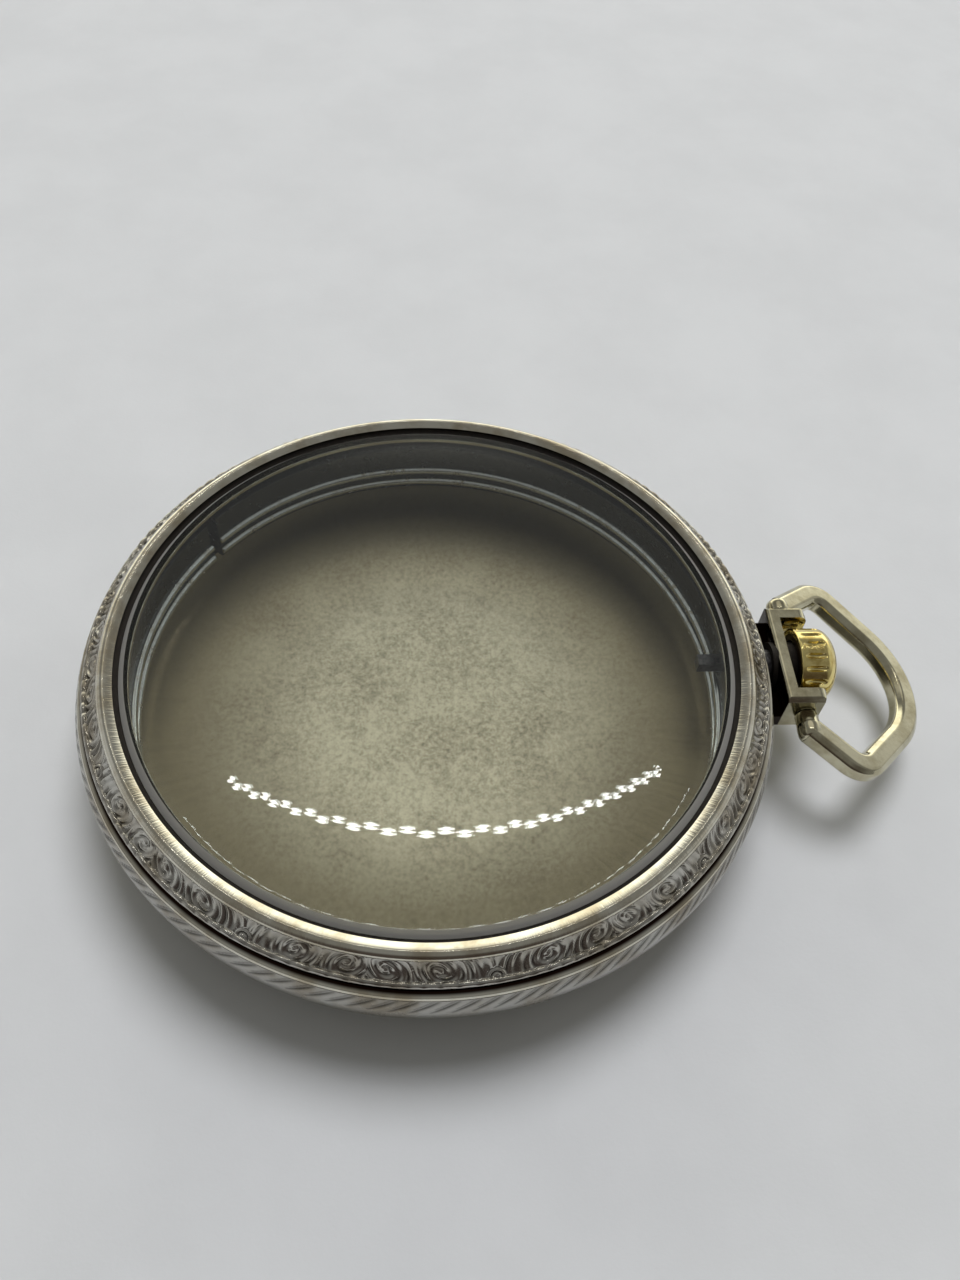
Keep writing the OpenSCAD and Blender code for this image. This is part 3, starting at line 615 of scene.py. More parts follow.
def tarnished_back(colours):
    """Brushed white metal, tarnished olive brown: mottled patches; darker and browner towards
    the edge, which is tarnish and painted shade under the wall; and lines of the brush that run
    outwards, drawn in colour on the side away from the bright wall alone, which are brush marks
    and painted sheen."""
    material, tree, shader = new_material("tarnished_brushed_metal", Metallic=0.55,
                                          Roughness=0.27)
    place = (add_node(tree, "ShaderNodeTexCoord"), "Object")
    patch = add_node(tree, "ShaderNodeTexNoise", {
        "Vector": place, "Scale": per(5.0), "Detail": 4, "Roughness": 0.6})
    mottle = add_node(tree, "ShaderNodeTexNoise", {
        "Vector": place, "Scale": per(0.32), "Detail": 5, "Roughness": 0.72})
    radius = from_axis(tree, place)[0]
    share = add_node(tree, "ShaderNodeMapRange", {0: radius, 1: 15*MM, 2: 19*MM, 3: 0.0,
                                                  4: 1.5}, interpolation_type="SMOOTHSTEP")
    # Painted sheen: the brush lines are drawn in colour on the near side alone, away from the
    # bright wall.
    side = add_node(tree, "ShaderNodeSeparateXYZ", {0: place})
    side = add_node(tree, "ShaderNodeMapRange", {0: (side, "Y"), 1: 4*MM, 2: -8*MM, 3: 0.0,
                                                 4: 1.0})
    share = add_node(tree, "ShaderNodeMath", {0: (share, 0), 1: (side, 0)},
                     operation="MULTIPLY")
    lines = across_the_ring(tree, place, 0.30)
    lines = add_node(tree, "ShaderNodeMath", {0: (lines, 0), 1: 0.5}, operation="SUBTRACT")
    lines = add_node(tree, "ShaderNodeMath", {0: (lines, 0), 1: (share, 0)},
                     operation="MULTIPLY")
    mixed = add_node(tree, "ShaderNodeMath", {0: (patch, 0), 1: 0.5, 2: (mottle, 0)},
                     operation="MULTIPLY_ADD")
    mixed = add_node(tree, "ShaderNodeMath", {0: (mixed, 0), 1: (lines, 0)})
    # Painted shade: darker and browner towards the wall, with tarnish.
    edge = ramp(tree, radius, 6*MM, 18.5*MM, colours.back, colours.back_edge)
    tint = ramp(tree, (mixed, 0), 0.50, 1.15, (edge, 2), colours.back_dark)
    bump = add_node(tree, "ShaderNodeBump", {"Height": (mixed, 0), "Strength": 0.25,
                                             "Distance": 0.03*MM})
    feed(tree, shader, Base_Color=(tint, 2), Normal=(bump, 0))
    return material


def turned_ring(colours):
    """Turned white metal with fine tool lines round the ring: the ridges are light, with dull
    spots, and the bore behind them is dark."""
    material, tree, shader = new_material("turned_ring_metal", Metallic=1.0)
    place = (add_node(tree, "ShaderNodeTexCoord"), "Object")
    lines = round_and_round(tree, place, 0.12, 6)
    spots = add_node(tree, "ShaderNodeTexNoise", {
        "Vector": place, "Scale": per(0.6), "Detail": 4, "Roughness": 0.65})
    radius = from_axis(tree, place)[0]
    tint = ramp(tree, (spots, 0), 0.45, 0.75, colours.ring, colours.nickel_shade)
    # The bore behind the ridges takes a dark colour, the ridges a light one.
    tint = ramp(tree, radius, 19.34*MM, 19.42*MM, (tint, 2), colours.ring_bore_dark)
    rough = add_node(tree, "ShaderNodeMapRange", {0: (spots, 0), 1: 0.3, 2: 0.7,
                                                  3: 0.14, 4: 0.30})
    bump = add_node(tree, "ShaderNodeBump", {"Height": (lines, 0), "Strength": 0.25,
                                             "Distance": 0.03*MM})
    feed(tree, shader, Base_Color=(tint, 2), Roughness=(rough, 0), Normal=(bump, 0))
    return material


def worn_gold(colours):
    """Gold shell, pressed and polished, with soft wear: warm and deep in its reflections."""
    material, tree, shader = new_material("polished_gold", Metallic=1.0)
    place = (add_node(tree, "ShaderNodeTexCoord"), "Object")
    cloud = add_node(tree, "ShaderNodeTexNoise", {
        "Vector": place, "Scale": per(0.7), "Detail": 3, "Roughness": 0.6})
    tint = ramp(tree, (cloud, 0), 0.4, 0.8, colours.gold, colours.gold_shade)
    rough = add_node(tree, "ShaderNodeMapRange", {0: (cloud, 0), 1: 0.3, 2: 0.7,
                                                  3: 0.07, 4: 0.18})
    feed(tree, shader, Base_Color=(tint, 2), Roughness=(rough, 0))
    return material


def speckled(name, base, metallic, roughness, mm=0.3, shade=0.45):
    """A dull finish: one colour with specks of mm, darker by shade."""
    material, tree, shader = new_material(name, Metallic=metallic, Roughness=roughness)
    place = (add_node(tree, "ShaderNodeTexCoord"), "Object")
    specks = add_node(tree, "ShaderNodeTexNoise", {
        "Vector": place, "Scale": per(mm), "Detail": 3, "Roughness": 0.7})
    dark = tuple(shade*v for v in base[:3]) + (1.0,)
    tint = ramp(tree, (specks, 0), 0.4, 0.75, tuple(base), dark)
    bump = add_node(tree, "ShaderNodeBump", {"Height": (specks, 0), "Strength": 0.3,
                                             "Distance": 0.05*MM})
    feed(tree, shader, Base_Color=(tint, 2), Normal=(bump, 0))
    return material


def crystal_glass(colours):
    """Mineral glass, ground and polished: clear, with a sharp gloss, and left grey and rough
    by the grinding on its bevel, where relief is 1. Lamps shine through it, so what lies
    under it is lit."""
    material, tree, shader = new_material("polished_mineral_glass", IOR=1.5)
    edge = add_node(tree, "ShaderNodeAttribute", attribute_name="relief")
    ground = add_node(tree, "ShaderNodeMapRange", {0: (edge, "Fac"), 3: 0.0, 4: 0.4})
    clarity = add_node(tree, "ShaderNodeMapRange", {0: (edge, "Fac"), 3: 1.0, 4: 0.35})
    tint = ramp(tree, (edge, "Fac"), 0.0, 1.0, colours.glass, colours.glass_rim)
    feed(tree, shader, Base_Color=(tint, 2), Roughness=(ground, 0),
         Transmission_Weight=(clarity, 0))
    clear = add_node(tree, "ShaderNodeBsdfTransparent", {"Color": colours.glass_light})
    path = add_node(tree, "ShaderNodeLightPath")
    mix = add_node(tree, "ShaderNodeMixShader", {
        0: (path, "Is Shadow Ray"), 1: (shader, 0), 2: (clear, 0)})
    tree.links.new(mix.outputs[0], tree.nodes["Material Output"].inputs["Surface"])
    return material


def paper_sheet(colours):
    """Matt drawing paper: a pale grey sheet with faint clouds and a fine tooth."""
    material, tree, shader = new_material("matt_paper", Roughness=0.9)
    place = (add_node(tree, "ShaderNodeTexCoord"), "Object")
    cloud = add_node(tree, "ShaderNodeTexNoise", {
        "Vector": place, "Scale": per(12), "Detail": 4, "Roughness": 0.6})
    tooth = add_node(tree, "ShaderNodeTexNoise", {
        "Vector": place, "Scale": per(0.35), "Detail": 3, "Roughness": 0.7})
    dull = tuple(0.95*v for v in colours.paper[:3]) + (1.0,)
    tint = ramp(tree, (cloud, 0), 0.3, 0.7, colours.paper, dull)
    bump = add_node(tree, "ShaderNodeBump", {"Height": (tooth, 0), "Strength": 0.15,
                                             "Distance": 0.05*MM})
    feed(tree, shader, Base_Color=(tint, 2), Normal=(bump, 0))
    return material


# Ornament


def groove(distance, width):
    """A V-shaped cut: 1 on its line, falling to 0 at half its width on either side."""
    return np.clip(1 - np.abs(distance)*2/width, 0, 1)


def fan_places(cells, near_pitch=37.17, near=3):
    """Azimuths of the fans. The first cells, near of them, are near_pitch wide, and the
    rest share what is left of the turn."""
    rest = (360 - near*near_pitch)/(cells - near)
    widths = [near_pitch]*near + [rest]*(cells - near)
    return FIRST_FAN + np.concatenate([[0], np.cumsum(widths)])


def engraving(azimuth, down, slope_l, radius, o):
    """Height from -1 to 1 of the engraving, at an azimuth and a distance down the slope.

    Each point belongs to the nearest scroll or fan. A scroll's ridge winds about its boss:
    cos(p) of the phase p = 2*pi*d/pitch - s*angle at the distance d, where s turns
    neighbours opposite ways, and leaf lobes 0.6 + 0.4*cos(3*angle + 4*d) break it up. A fan
    is arcs about a middle on the slope's foot: cos(2*pi*(d/pitch - 0.4)) at the distance d.
    """
    fans = fan_places(o.cells)
    cell = np.interp(azimuth, fans, np.arange(len(fans)))
    cell_w = np.radians(360/o.cells)*radius
    u = (cell % 1)*cell_w
    best = np.full(np.broadcast(u, down).shape, 99.0)
    height = np.zeros_like(best)
    middle = slope_l/2
    for place in (o.rosette_1, o.rosette_2, cell_w - o.rosette_2, cell_w - o.rosette_1):
        lean = 0.35*np.sign(place - cell_w/2)
        across, along = u - place - lean*(down - middle), (down - middle)*1.05
        d, angle = np.hypot(across, along), np.arctan2(along, across)
        turn = 1 if place in (o.rosette_1, cell_w - o.rosette_2) else -1
        ridge = np.cos(2*np.pi*d/o.lobe - turn*angle)*(0.6 + 0.4*np.cos(3*angle + 4*d))
        ridge = np.where(d < o.boss_r, 1.0, ridge)
        nearer = d < best
        height, best = np.where(nearer, ridge, height), np.where(nearer, d, best)
    for place in (0, cell_w):
        d = np.hypot(u - place, slope_l + 0.02 - down)
        ridge = np.where(d < 0.75*o.fan_lobe, 1.0, np.cos(2*np.pi*(d/o.fan_lobe - 0.4)))
        height = np.where(d < o.fan_r, ridge, height)
    return np.clip(height, -1, 1)


def slashes(u, height, o):
    """Depth from 0 to 1 of the slashes, at u mm round the band and a height above their
    middle line. Each is a straight cut, with a finer and shorter one above it."""
    depth = np.zeros(np.broadcast(u, height).shape)
    along = np.array([o.slash_l, o.slash_h])/np.hypot(o.slash_l, o.slash_h)
    half = np.hypot(o.slash_l, o.slash_h)/2
    for shift in (-1, 0, 1):
        du = (u + o.slash_pitch/2) % o.slash_pitch - o.slash_pitch/2 + shift*o.slash_pitch
        for rise, share, width, deep in ((0, 1.0, 1.0, 1.0), (o.fine_gap, 0.7, 0.6, 0.6)):
            dv = height - rise
            t = np.clip(du*along[0] + dv*along[1], -half*share, half*share)
            d = np.hypot(du - t*along[0], dv - t*along[1])
            taper = 1 - 0.5*(np.abs(t)/half)**2
            depth = np.maximum(depth, deep*taper*groove(d, o.slash_w*width))
    return depth


# Pieces


def bezel_outline(c):
    """The bezel's closed outline but for the engraved slope, and the slope with its bead."""
    crest = (c.lip_r + c.crest_in, c.lip_z + c.crest_rise)
    lip = np.concatenate([bowed((c.lip_r, c.lip_z), crest, c.lip_swell, 12),
                          bowed(crest, (c.bead_r, c.bead_z), c.bead_swell, 14)[1:]])
    centre = (c.thin_bead_x, c.thin_bead_z)
    foot = np.array(centre) + c.thin_bead_r*np.array([np.cos(3*np.pi/4), np.sin(3*np.pi/4)])
    slope = bowed((c.bead_r, c.bead_z), foot, -c.slope_hollow, 26)
    return lip, slope, arc(centre, c.thin_bead_r, 130, -60, 12)


def smooth_normals(outline):
    """Unit normals to the left of an open outline, from the differences of its points."""
    d = np.gradient(outline, axis=0)
    return np.stack([-d[:, 1], d[:, 0]], 1)/np.linalg.norm(d, axis=1)[:, None]


class WATCH_OT_bezel(bpy.types.Operator):
    """Bezel: polished lip bead, hollow engraved slope, thin bead and snap skirt"""
    bl_idname = "watch.bezel"
    bl_label = "Bezel"

    def execute(self, context):
        c, o = in_mm(context.scene.case_sizes), in_mm(context.scene.ornament_sizes)
        colours = context.scene.finish_colours
        lip, slope, bead = bezel_outline(c)
        # The face on which the engraved skin lies, from the lip's bead down to the skirt
        tuck = [(c.bead_r - 0.05, c.bead_z - 0.25),
                (c.skirt_r - 0.45, c.skirt_z0 + 0.35), (c.skirt_r - 0.2, c.skirt_z0 + 0.12),
                (c.skirt_r, c.skirt_z0 + 0.12)]
        outline = rounded([
            (c.flange_bore_r, c.flange_z0, 0.05), (c.flange_bore_r, c.glass_z0, 0.05),
            (c.groove_r, c.glass_z0), (c.groove_r, c.lip_z - c.lip_hang), *lip, *tuck,
            (c.skirt_r, c.skirt_z0, 0.05), (c.skirt_bore_r, c.skirt_z0, 0.08),
            (c.skirt_bore_r, c.roof_z), (c.flange_r, c.roof_z), (c.flange_r, c.flange_z0)])
        made = piece("bezel_body", surface(about_z(outline)))
        metal = white_metal(colours, hatch=o.hatch, shaded_joint=c.joint_z)
        finish(made, metal, "front", "bezel", slot="white_metal")

        top = np.concatenate([slope, bead[1:]])
        normals = smooth_normals(top)
        steps = np.linalg.norm(np.diff(top, axis=0), axis=1)
        down = np.concatenate([[0], np.cumsum(steps)])[:, None]
        slope_l = down[len(slope) - 1, 0]
        columns = 2300
        azimuth = FIRST_FAN + np.linspace(0, 360, columns, endpoint=False)[None, :]
        radius = (c.bead_r + c.thin_bead_x)/2
        height = engraving(azimuth, down, slope_l, radius, o)
        edge = np.clip(down/0.10, 0, 1)*np.clip((slope_l - down)/0.05 + 1, 0, 1)
        # The thin bead's hollows lie 0.9 mm apart, and slow waves make them uneven
        along = np.radians(azimuth)*radius
        scallop = np.abs(np.sin(np.pi*along/0.9 + 0.8*np.sin(along*0.7)))
        scallop = scallop*(1.1 + 0.5*np.sin(along*0.9)) - 0.6
        on_bead = np.clip((down - slope_l)/0.05, 0, 1)*np.clip((slope_l + 0.4 - down)/0.1, 0, 1)
        height = height*edge + scallop*on_bead
        a = np.radians(azimuth)
        r = top[:, 0:1] + normals[:, 0:1]*height*o.relief
        z = top[:, 1:2] + normals[:, 1:2]*height*o.relief
        skin = np.stack([r*np.cos(a), r*np.sin(a), z + 0*a], 2)
        lower = about_z(np.array(tuck[::-1]), columns, FIRST_FAN, FIRST_FAN + 360)
        relief = np.concatenate([height, np.zeros((len(tuck), columns))])
        made = piece("bezel_engraving", surface(np.concatenate([skin, lower])), sharp=180,
                     relief=relief)
        metal = white_metal(colours, grime=2.0, shaded_joint=c.joint_z)
        finish(made, metal, "front", "bezel", slot="white_metal")
        return {"FINISHED"}


class WATCH_OT_band(bpy.types.Operator):
    """Centre band: convex ring with fine grooves, cut slashes and two snap rims"""
    bl_idname = "watch.band"
    bl_label = "Centre band"

    def execute(self, context):
        c, o = in_mm(context.scene.case_sizes), in_mm(context.scene.ornament_sizes)
        p = in_mm(context.scene.pendant_sizes)
        colours = context.scene.finish_colours
        centre = np.array([c.band_r - c.band_curve, c.band_waist_z])

        def face_angle(z):
            return np.degrees(np.arcsin((z - centre[1])/c.band_curve))

        top, foot = face_angle(c.band_z1 - 0.12), face_angle(c.band_z0 + 0.25)
        high, low = face_angle(c.zone_z1), face_angle(c.zone_z0)
        upper = arc(centre, c.band_curve, top, high, 20)
        channel = arc(centre, c.band_curve - c.zone_d, high, low, 16)
        lower = arc(centre, c.band_curve, low, foot, 40)
        outline = rounded([
            (c.inner_r, c.rim_z1, 0.05), (c.rim_r, c.rim_z1, 0.1), (c.rim_r, c.band_z1),
            (c.band_edge_r, c.band_z1, 0.04), *upper, *channel, *lower,
            (c.back_r + 0.05, c.band_z0, 0.04), (c.back_rim_r, c.band_z0),
            (c.back_rim_r, c.back_rim_z0, 0.1), (c.inner_r, c.back_rim_z0, 0.05)])
        made = piece("band_body", surface(about_z(outline)))
        cut(made, rod_surface(c.sleeve_r, 19, 24, p.axis_z))
        metal = white_metal(colours, shaded_joint=c.joint_z)
        finish(made, metal, "case", "centre_band", slot="white_metal")

        bare = 9.3  # degrees on either side of the pendant that have no slashes
        rows, columns = 51, 1800
        v = np.linspace(high, low, rows)[:, None]
        azimuth = np.linspace(bare, 360 - bare, columns)[None, :]
        u = np.radians(azimuth)*c.band_r
        z = centre[1] + c.band_curve*np.sin(np.radians(v))
        depth = np.maximum(slashes(u, z - o.slash_z1, o), slashes(u, o.slash_z0 - z, o))
        r = c.band_curve - depth*o.slash_d
        rr = centre[0] + r*np.cos(np.radians(v))
        zz = centre[1] + r*np.sin(np.radians(v))
        a = np.radians(azimuth)
        skin = np.stack([rr*np.cos(a), rr*np.sin(a), zz + 0*a], 2)
        inside = about_z(arc(centre, c.band_curve - c.zone_d + 0.01, low, high, 3),
                         columns - 1, bare, 360 - bare)
        relief = np.concatenate([-depth, np.zeros((len(inside), columns))])
        made = piece("band_slashes",
                     surface(np.concatenate([skin, inside]), columns="ends"), sharp=180,
                     relief=relief)
        finish(made, white_metal(colours, grime=1.25), "case", "centre_band",
               slot="white_metal")
        return {"FINISHED"}


class WATCH_OT_ring(bpy.types.Operator):
    """Movement ring: the seat for the movement plate and two round ridges below it"""
    bl_idname = "watch.ring"
    bl_label = "Movement ring"

    def execute(self, context):
        c = in_mm(context.scene.case_sizes)
        p = in_mm(context.scene.pendant_sizes)
        upper = np.array([c.bore_r, c.ridge_z])
        ridges = [arc(upper - [0, drop], c.ridge_r, 268, 92, 20) for drop in
                  (c.ridge_pitch, 0)]
        outline = rounded([
            (c.seat_r, c.ring_z1, 0.06), (c.ring_r, c.ring_z1, 0.06),
            (c.ring_r, c.ring_z0, 0.04), (c.bore_r, c.ring_z0, 0.04), *ridges[0], *ridges[1],
            (c.bore_r, c.seat_z, 0.06), (c.seat_r, c.seat_z)])
        made = piece("ring", surface(about_z(outline)))
        # The notch runs the ring's whole height, and its block reaches past the ring's ends
        notch, faces = box_surface((18, -c.notch_w/2, 2), (c.seat_r, c.notch_w/2, 9))
        turn = np.array(Matrix.Rotation(c.notch_a, 3, "Z"))
        cut(made, rod_surface(c.stem_hole_r, 18, 22, p.axis_z), (notch @ turn.T, faces))
        finish(made, turned_ring(context.scene.finish_colours), "case", "movement_ring",
               slot="ring_metal")
        return {"FINISHED"}


class WATCH_OT_back(bpy.types.Operator):
    """Back cover: a shallow shell with a flat floor, tarnished inside"""
    bl_idname = "watch.back"
    bl_label = "Back cover"

    def execute(self, context):
        c = in_mm(context.scene.case_sizes)
        slant = np.degrees(np.arcsin((c.back_r - c.back_turn_r - c.back_rest_r)
                                     / (c.back_dome_r - c.back_turn_r)))
        reach = c.back_dome_r - c.back_turn_r
        centre = (c.back_rest_r + reach*np.sin(np.radians(slant)),
                  c.back_dome_r - reach*np.cos(np.radians(slant)))

        def face(t, end_z):
            """The shell's face t above its outer one, from the axis up to end_z. The outer
            face rises on the dome's arc, and the inner one on a straight line."""
            r = c.back_turn_r - t
            end = np.degrees(np.arcsin((end_z - centre[1])/r))
            flat_r = c.back_floor_r if t else c.back_rest_r
            flat = np.stack([np.linspace(0, flat_r, 24), np.full(24, t)], 1)
            rising = arc((c.back_rest_r, c.back_dome_r), c.back_dome_r - t, -90,
                         -90 + slant, 24)
            if t:
                rising = np.linspace(flat[-1], rising[-1], 24)
            turn = arc(centre, r, -90 + slant, end, 24)
            return np.concatenate([flat, rising[1:], turn[1:]])

        step = c.back_rim_z0 - 0.05
        outline = np.concatenate([
            face(0, c.back_h), [[c.back_bore_r, c.back_h], [c.back_bore_r, step]],
            face(c.back_t, step)[::-1]])
        made = piece("back", surface(about_z(outline, 480), rows="poles"))
        finish(made, tarnished_back(context.scene.finish_colours), "back", "back_cover",
               slot="white_metal_worn")
        return {"FINISHED"}


class WATCH_OT_crystal(bpy.types.Operator):
    """Crystal with its bevelled edge, and the old cement that holds it"""
    bl_idname = "watch.crystal"
    bl_label = "Crystal"

    def execute(self, context):
        c = in_mm(context.scene.case_sizes)
        rim = c.glass_z0 + c.glass_t
        flat_r = c.glass_r - c.glass_bevel
        outline = np.concatenate([
            dome(c.flange_bore_r, c.glass_z0, c.glass_rise),
            [[c.glass_r - 0.04, c.glass_z0], [c.glass_r, c.glass_z0 + 0.04],
             [c.glass_r, rim - c.glass_bevel - 0.02],
             [c.glass_r - 0.015, rim - c.glass_bevel + 0.015],
             [flat_r + 0.015, rim - 0.015]],
            dome(flat_r, rim, c.glass_rise)[::-1]])
        # The five points from the rim's foot to the bevel's top are ground more and more
        ground = np.zeros((len(outline), 480))
        ground[25:30] = np.array([0, 0.3, 0.6, 1, 1])[:, None]
        made = piece("crystal_glass", surface(about_z(outline, 480), rows="poles"), sharp=20,
                     relief=np.append(ground[1:-1], [0, 0]))
        finish(made, crystal_glass(context.scene.finish_colours), "front", "crystal",
               slot="crystal")

        gap = 0.01
        outline = rounded([
            (c.glass_r + gap, c.glass_z0, 0.02), (c.groove_r - gap, c.glass_z0, 0.02),
            (c.groove_r - gap, c.glass_z0 + c.cement_h, 0.05),
            (c.glass_r + gap, c.glass_z0 + c.cement_h*0.8, 0.05)])
        made = piece("crystal_bed", surface(about_z(outline)))
        finish(made, speckled("old_cement", context.scene.finish_colours.cement, 0.0, 0.7),
               "front", "crystal_cement", slot="cement")
        return {"FINISHED"}


class WATCH_OT_crown(bpy.types.Operator):
    """Crown: a gold cup with a full dome and scooped furrows round its skirt"""
    bl_idname = "watch.crown"
    bl_label = "Crown"

    def execute(self, context):
        p = in_mm(context.scene.pendant_sizes)
        skirt_end = p.crown_x + p.crown_skirt
        skirt = np.stack([np.full(61, p.crown_r),
                          np.linspace(p.crown_x + p.crown_edge, skirt_end, 61)], 1)
        t = np.linspace(0, np.pi/2, 33)[1:]
        cap = np.stack([p.crown_r*np.cos(t), skirt_end + p.crown_dome*np.sin(t)], 1)
        cap[-1, 0] = 0
        inner = [[0, p.core_end + 0.01], [p.core_r - 0.05, p.core_end + 0.01],
                 [p.core_r, p.core_end - 0.04], [p.core_r, p.crown_x + 0.05],
                 [p.core_r + 0.02, p.crown_x + 0.01]]
        edge = arc((p.crown_r - p.crown_edge, p.crown_x + p.crown_edge), p.crown_edge,
                   -90, 0, 6)[:-1]
        outline = np.concatenate([inner, edge, skirt, cap])
        segments = p.furrows*32
        a = np.linspace(0, 2*np.pi, segments, endpoint=False)[None, :]
        r, x = outline[:, 0:1] + 0*a, outline[:, 1:2]
        step = 2*np.pi/p.furrows
        off = ((a/step) % 1 - 0.5)*step*p.crown_r
        along = x - (p.crown_x + p.furrow_in + p.furrow_l/2)
        # A furrow is scooped: a round section carried along the arc of a wheel
        edge_r = ((p.furrow_w/2)**2 + p.furrow_d**2)/(2*p.furrow_d)
        wheel_r = ((p.furrow_l/2)**2 + p.furrow_d**2)/(2*p.furrow_d)
        deep = wheel_r - np.sqrt(np.clip(wheel_r**2 - along**2, 0, None))
        side = edge_r - np.sqrt(np.clip(edge_r**2 - off**2, 0, None))
        depth = np.clip(p.furrow_d - deep - side, 0, None)
        depth = depth*(np.abs(off) < edge_r)*(np.abs(along) < wheel_r)
        r = np.where(outline[:, 0:1] > p.core_r + 0.1, r - depth, r)
        grid = np.stack([x + 0*a, r*np.cos(a), p.axis_z + r*np.sin(a)], 2)
        made = piece("crown_gold", surface(grid, rows="poles"), sharp=50)
        finish(made, worn_gold(context.scene.finish_colours), "winder", "crown_shell",
               slot="gold")
        return {"FINISHED"}


def bar_route(p):
    """Points of the bow's middle line with their outward directions, in the bow's plane.

    From one eye along the arm, round the shoulder, down the leg and round half of the
    nose; the other half is its mirror image. Arcs are turned about their centres.
    """
    centre = p.bow_reach - p.bow_w/2 - p.nose_r
    half = p.nose_half
    end = np.array([centre + p.nose_r*np.cos(half), p.nose_r*np.sin(half)])
    leg_a, arm_a = np.pi/2 + half, np.pi + p.arm_flare
    leg_u = np.array([np.cos(leg_a), np.sin(leg_a)])
    arm_u = -np.array([np.cos(arm_a), np.sin(arm_a)])
    arm_l, leg_l = np.linalg.solve(np.stack([arm_u, -leg_u], 1), end - [0, p.eye_y])
    apex = end + leg_l*leg_u
    bend = arm_a - leg_a
    bend_l = p.shoulder_r*np.tan(bend/2)

    def run(start, angle, far):
        t = np.concatenate([[0.02], np.linspace(0.06, far - 0.06, 6), [far - 0.02]])
        d = np.array([np.cos(angle), np.sin(angle)])
        return start + t[:, None]*d, np.tile([d[1], -d[0]], (len(t), 1))

    def turn(middle, radius, start, end_a, count):
        a = np.linspace(start, end_a, count)
        d = np.stack([np.cos(a), np.sin(a)], 1)
        return middle + radius*d, d

    bend_c = apex - bend_l*leg_u + p.shoulder_r*np.array([-leg_u[1], leg_u[0]])
    parts = [turn(np.array([centre, 0]), p.nose_r, 0, half, 40),
             run(end, leg_a, leg_l - bend_l),
             turn(bend_c, p.shoulder_r, leg_a - np.pi/2, arm_a - np.pi/2, 28),
             run(apex - bend_l*arm_u, arm_a, arm_l - bend_l)]
    points = np.concatenate([q for q, d in parts])
    outward = np.concatenate([d for q, d in parts])
    flip = np.array([1, -1])
    return (np.concatenate([points[:0:-1]*flip, points]),
            np.concatenate([outward[:0:-1]*flip, outward]))


class WATCH_OT_bow(bpy.types.Operator):
    """Bow: five-sided loop of bevelled bar with a round nose, two eyes and their pins"""
    bl_idname = "watch.bow"
    bl_label = "Bow"

    def execute(self, context):
        p = in_mm(context.scene.pendant_sizes)
        w, t, b = p.bow_w/2, p.bow_t/2, p.bow_bevel
        corners = [(w, -t + b), (w, t - b), (w - b, t), (-w + b, t), (-w, t - b), (-w, -t + b),
                   (-w + b, -t), (w - b, -t)]
        section = rounded([(*corner, p.bow_round) for corner in corners], 5, 0.02)
        points, outward = bar_route(p)
        flat = points[None] + section[:, 0][:, None, None]*outward[None]
        height = np.broadcast_to(section[:, 1:2], flat.shape[:2])[..., None]
        parts = [surface(np.concatenate([flat, height], 2), columns="ends")]
        # An eye is a knob: an ellipse whose cos and sin are raised to 0.6, so it is squarer
        y0 = p.eye_y - p.eye_w/2
        a = np.linspace(-np.pi/2, np.pi/2, 41)
        eye = np.stack([p.eye_r*np.cos(a)**0.6,
                        p.eye_y + p.eye_w/2*np.sign(np.sin(a))*np.abs(np.sin(a))**0.6], 1)
        eye[[0, -1], 0] = 0
        pin = np.array([[0, p.pin_y0], [p.pin_r - 0.08, p.pin_y0], [p.pin_r, p.pin_y0 + 0.08],
                        [p.pin_r, y0 + 0.5], [0, y0 + 0.5]])
        collar = np.array([[0, p.collar_y], [p.eye_r*0.85, p.collar_y],
                           [p.eye_r*0.95, p.collar_y + 0.1], [p.eye_r*0.95, p.eye_y],
                           [0, p.eye_y]])
        # The collar is on the near side alone, where the eye stands clear of the arm
        for outline, side in ((eye, 1), (eye, -1), (pin, 1), (pin, -1), (collar, -1)):
            grid = about_x(outline, 0, 96)[..., [1, 0, 2]]*[1, side, 1]
            parts.append(surface(grid, rows="poles"))
        turn = np.array(Matrix.Rotation(p.droop, 3, "Y"))
        hung = [(q @ turn.T + [p.pivot_x, -p.bow_shift, p.axis_z], f) for q, f in parts]
        made = piece("bow_loop", *hung, sharp=45)
        finish(made, pendant_metal(context.scene.finish_colours), "bow", "bow",
               slot="white_metal")
        return {"FINISHED"}


class WATCH_OT_cradle(bpy.types.Operator):
    """Pendant cradle: the CAD solid's own shape with its edges eased"""
    bl_idname = "watch.cradle"
    bl_label = "Pendant cradle"

    def execute(self, context):
        p = in_mm(context.scene.pendant_sizes)
        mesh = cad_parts["pendant_cradle"].data.copy()
        made = bpy.data.objects.new("cradle", mesh)
        context.scene.collection.objects.link(made)
        weld = made.modifiers.new("weld", "WELD")
        weld.merge_threshold = 1e-6
        flat = made.modifiers.new("flat", "DECIMATE")
        flat.decimate_type, flat.angle_limit = "DISSOLVE", np.radians(2)
        ease = made.modifiers.new("ease", "BEVEL")
        ease.width, ease.segments = p.cradle_edge*MM, 3
        ease.limit_method, ease.angle_limit = "ANGLE", np.radians(28)
        ease.harden_normals = True
        graph = context.evaluated_depsgraph_get()
        made.data = bpy.data.meshes.new_from_object(made.evaluated_get(graph))
        made.modifiers.clear()
        colours = context.scene.finish_colours
        # Painted shade darkens the cradle's wall that faces the band.
        metal = pendant_metal(colours, shade_x=p.wall_x + 0.04)
        finish(made, metal, "case", "pendant_cradle", slot="white_metal")
        return {"FINISHED"}


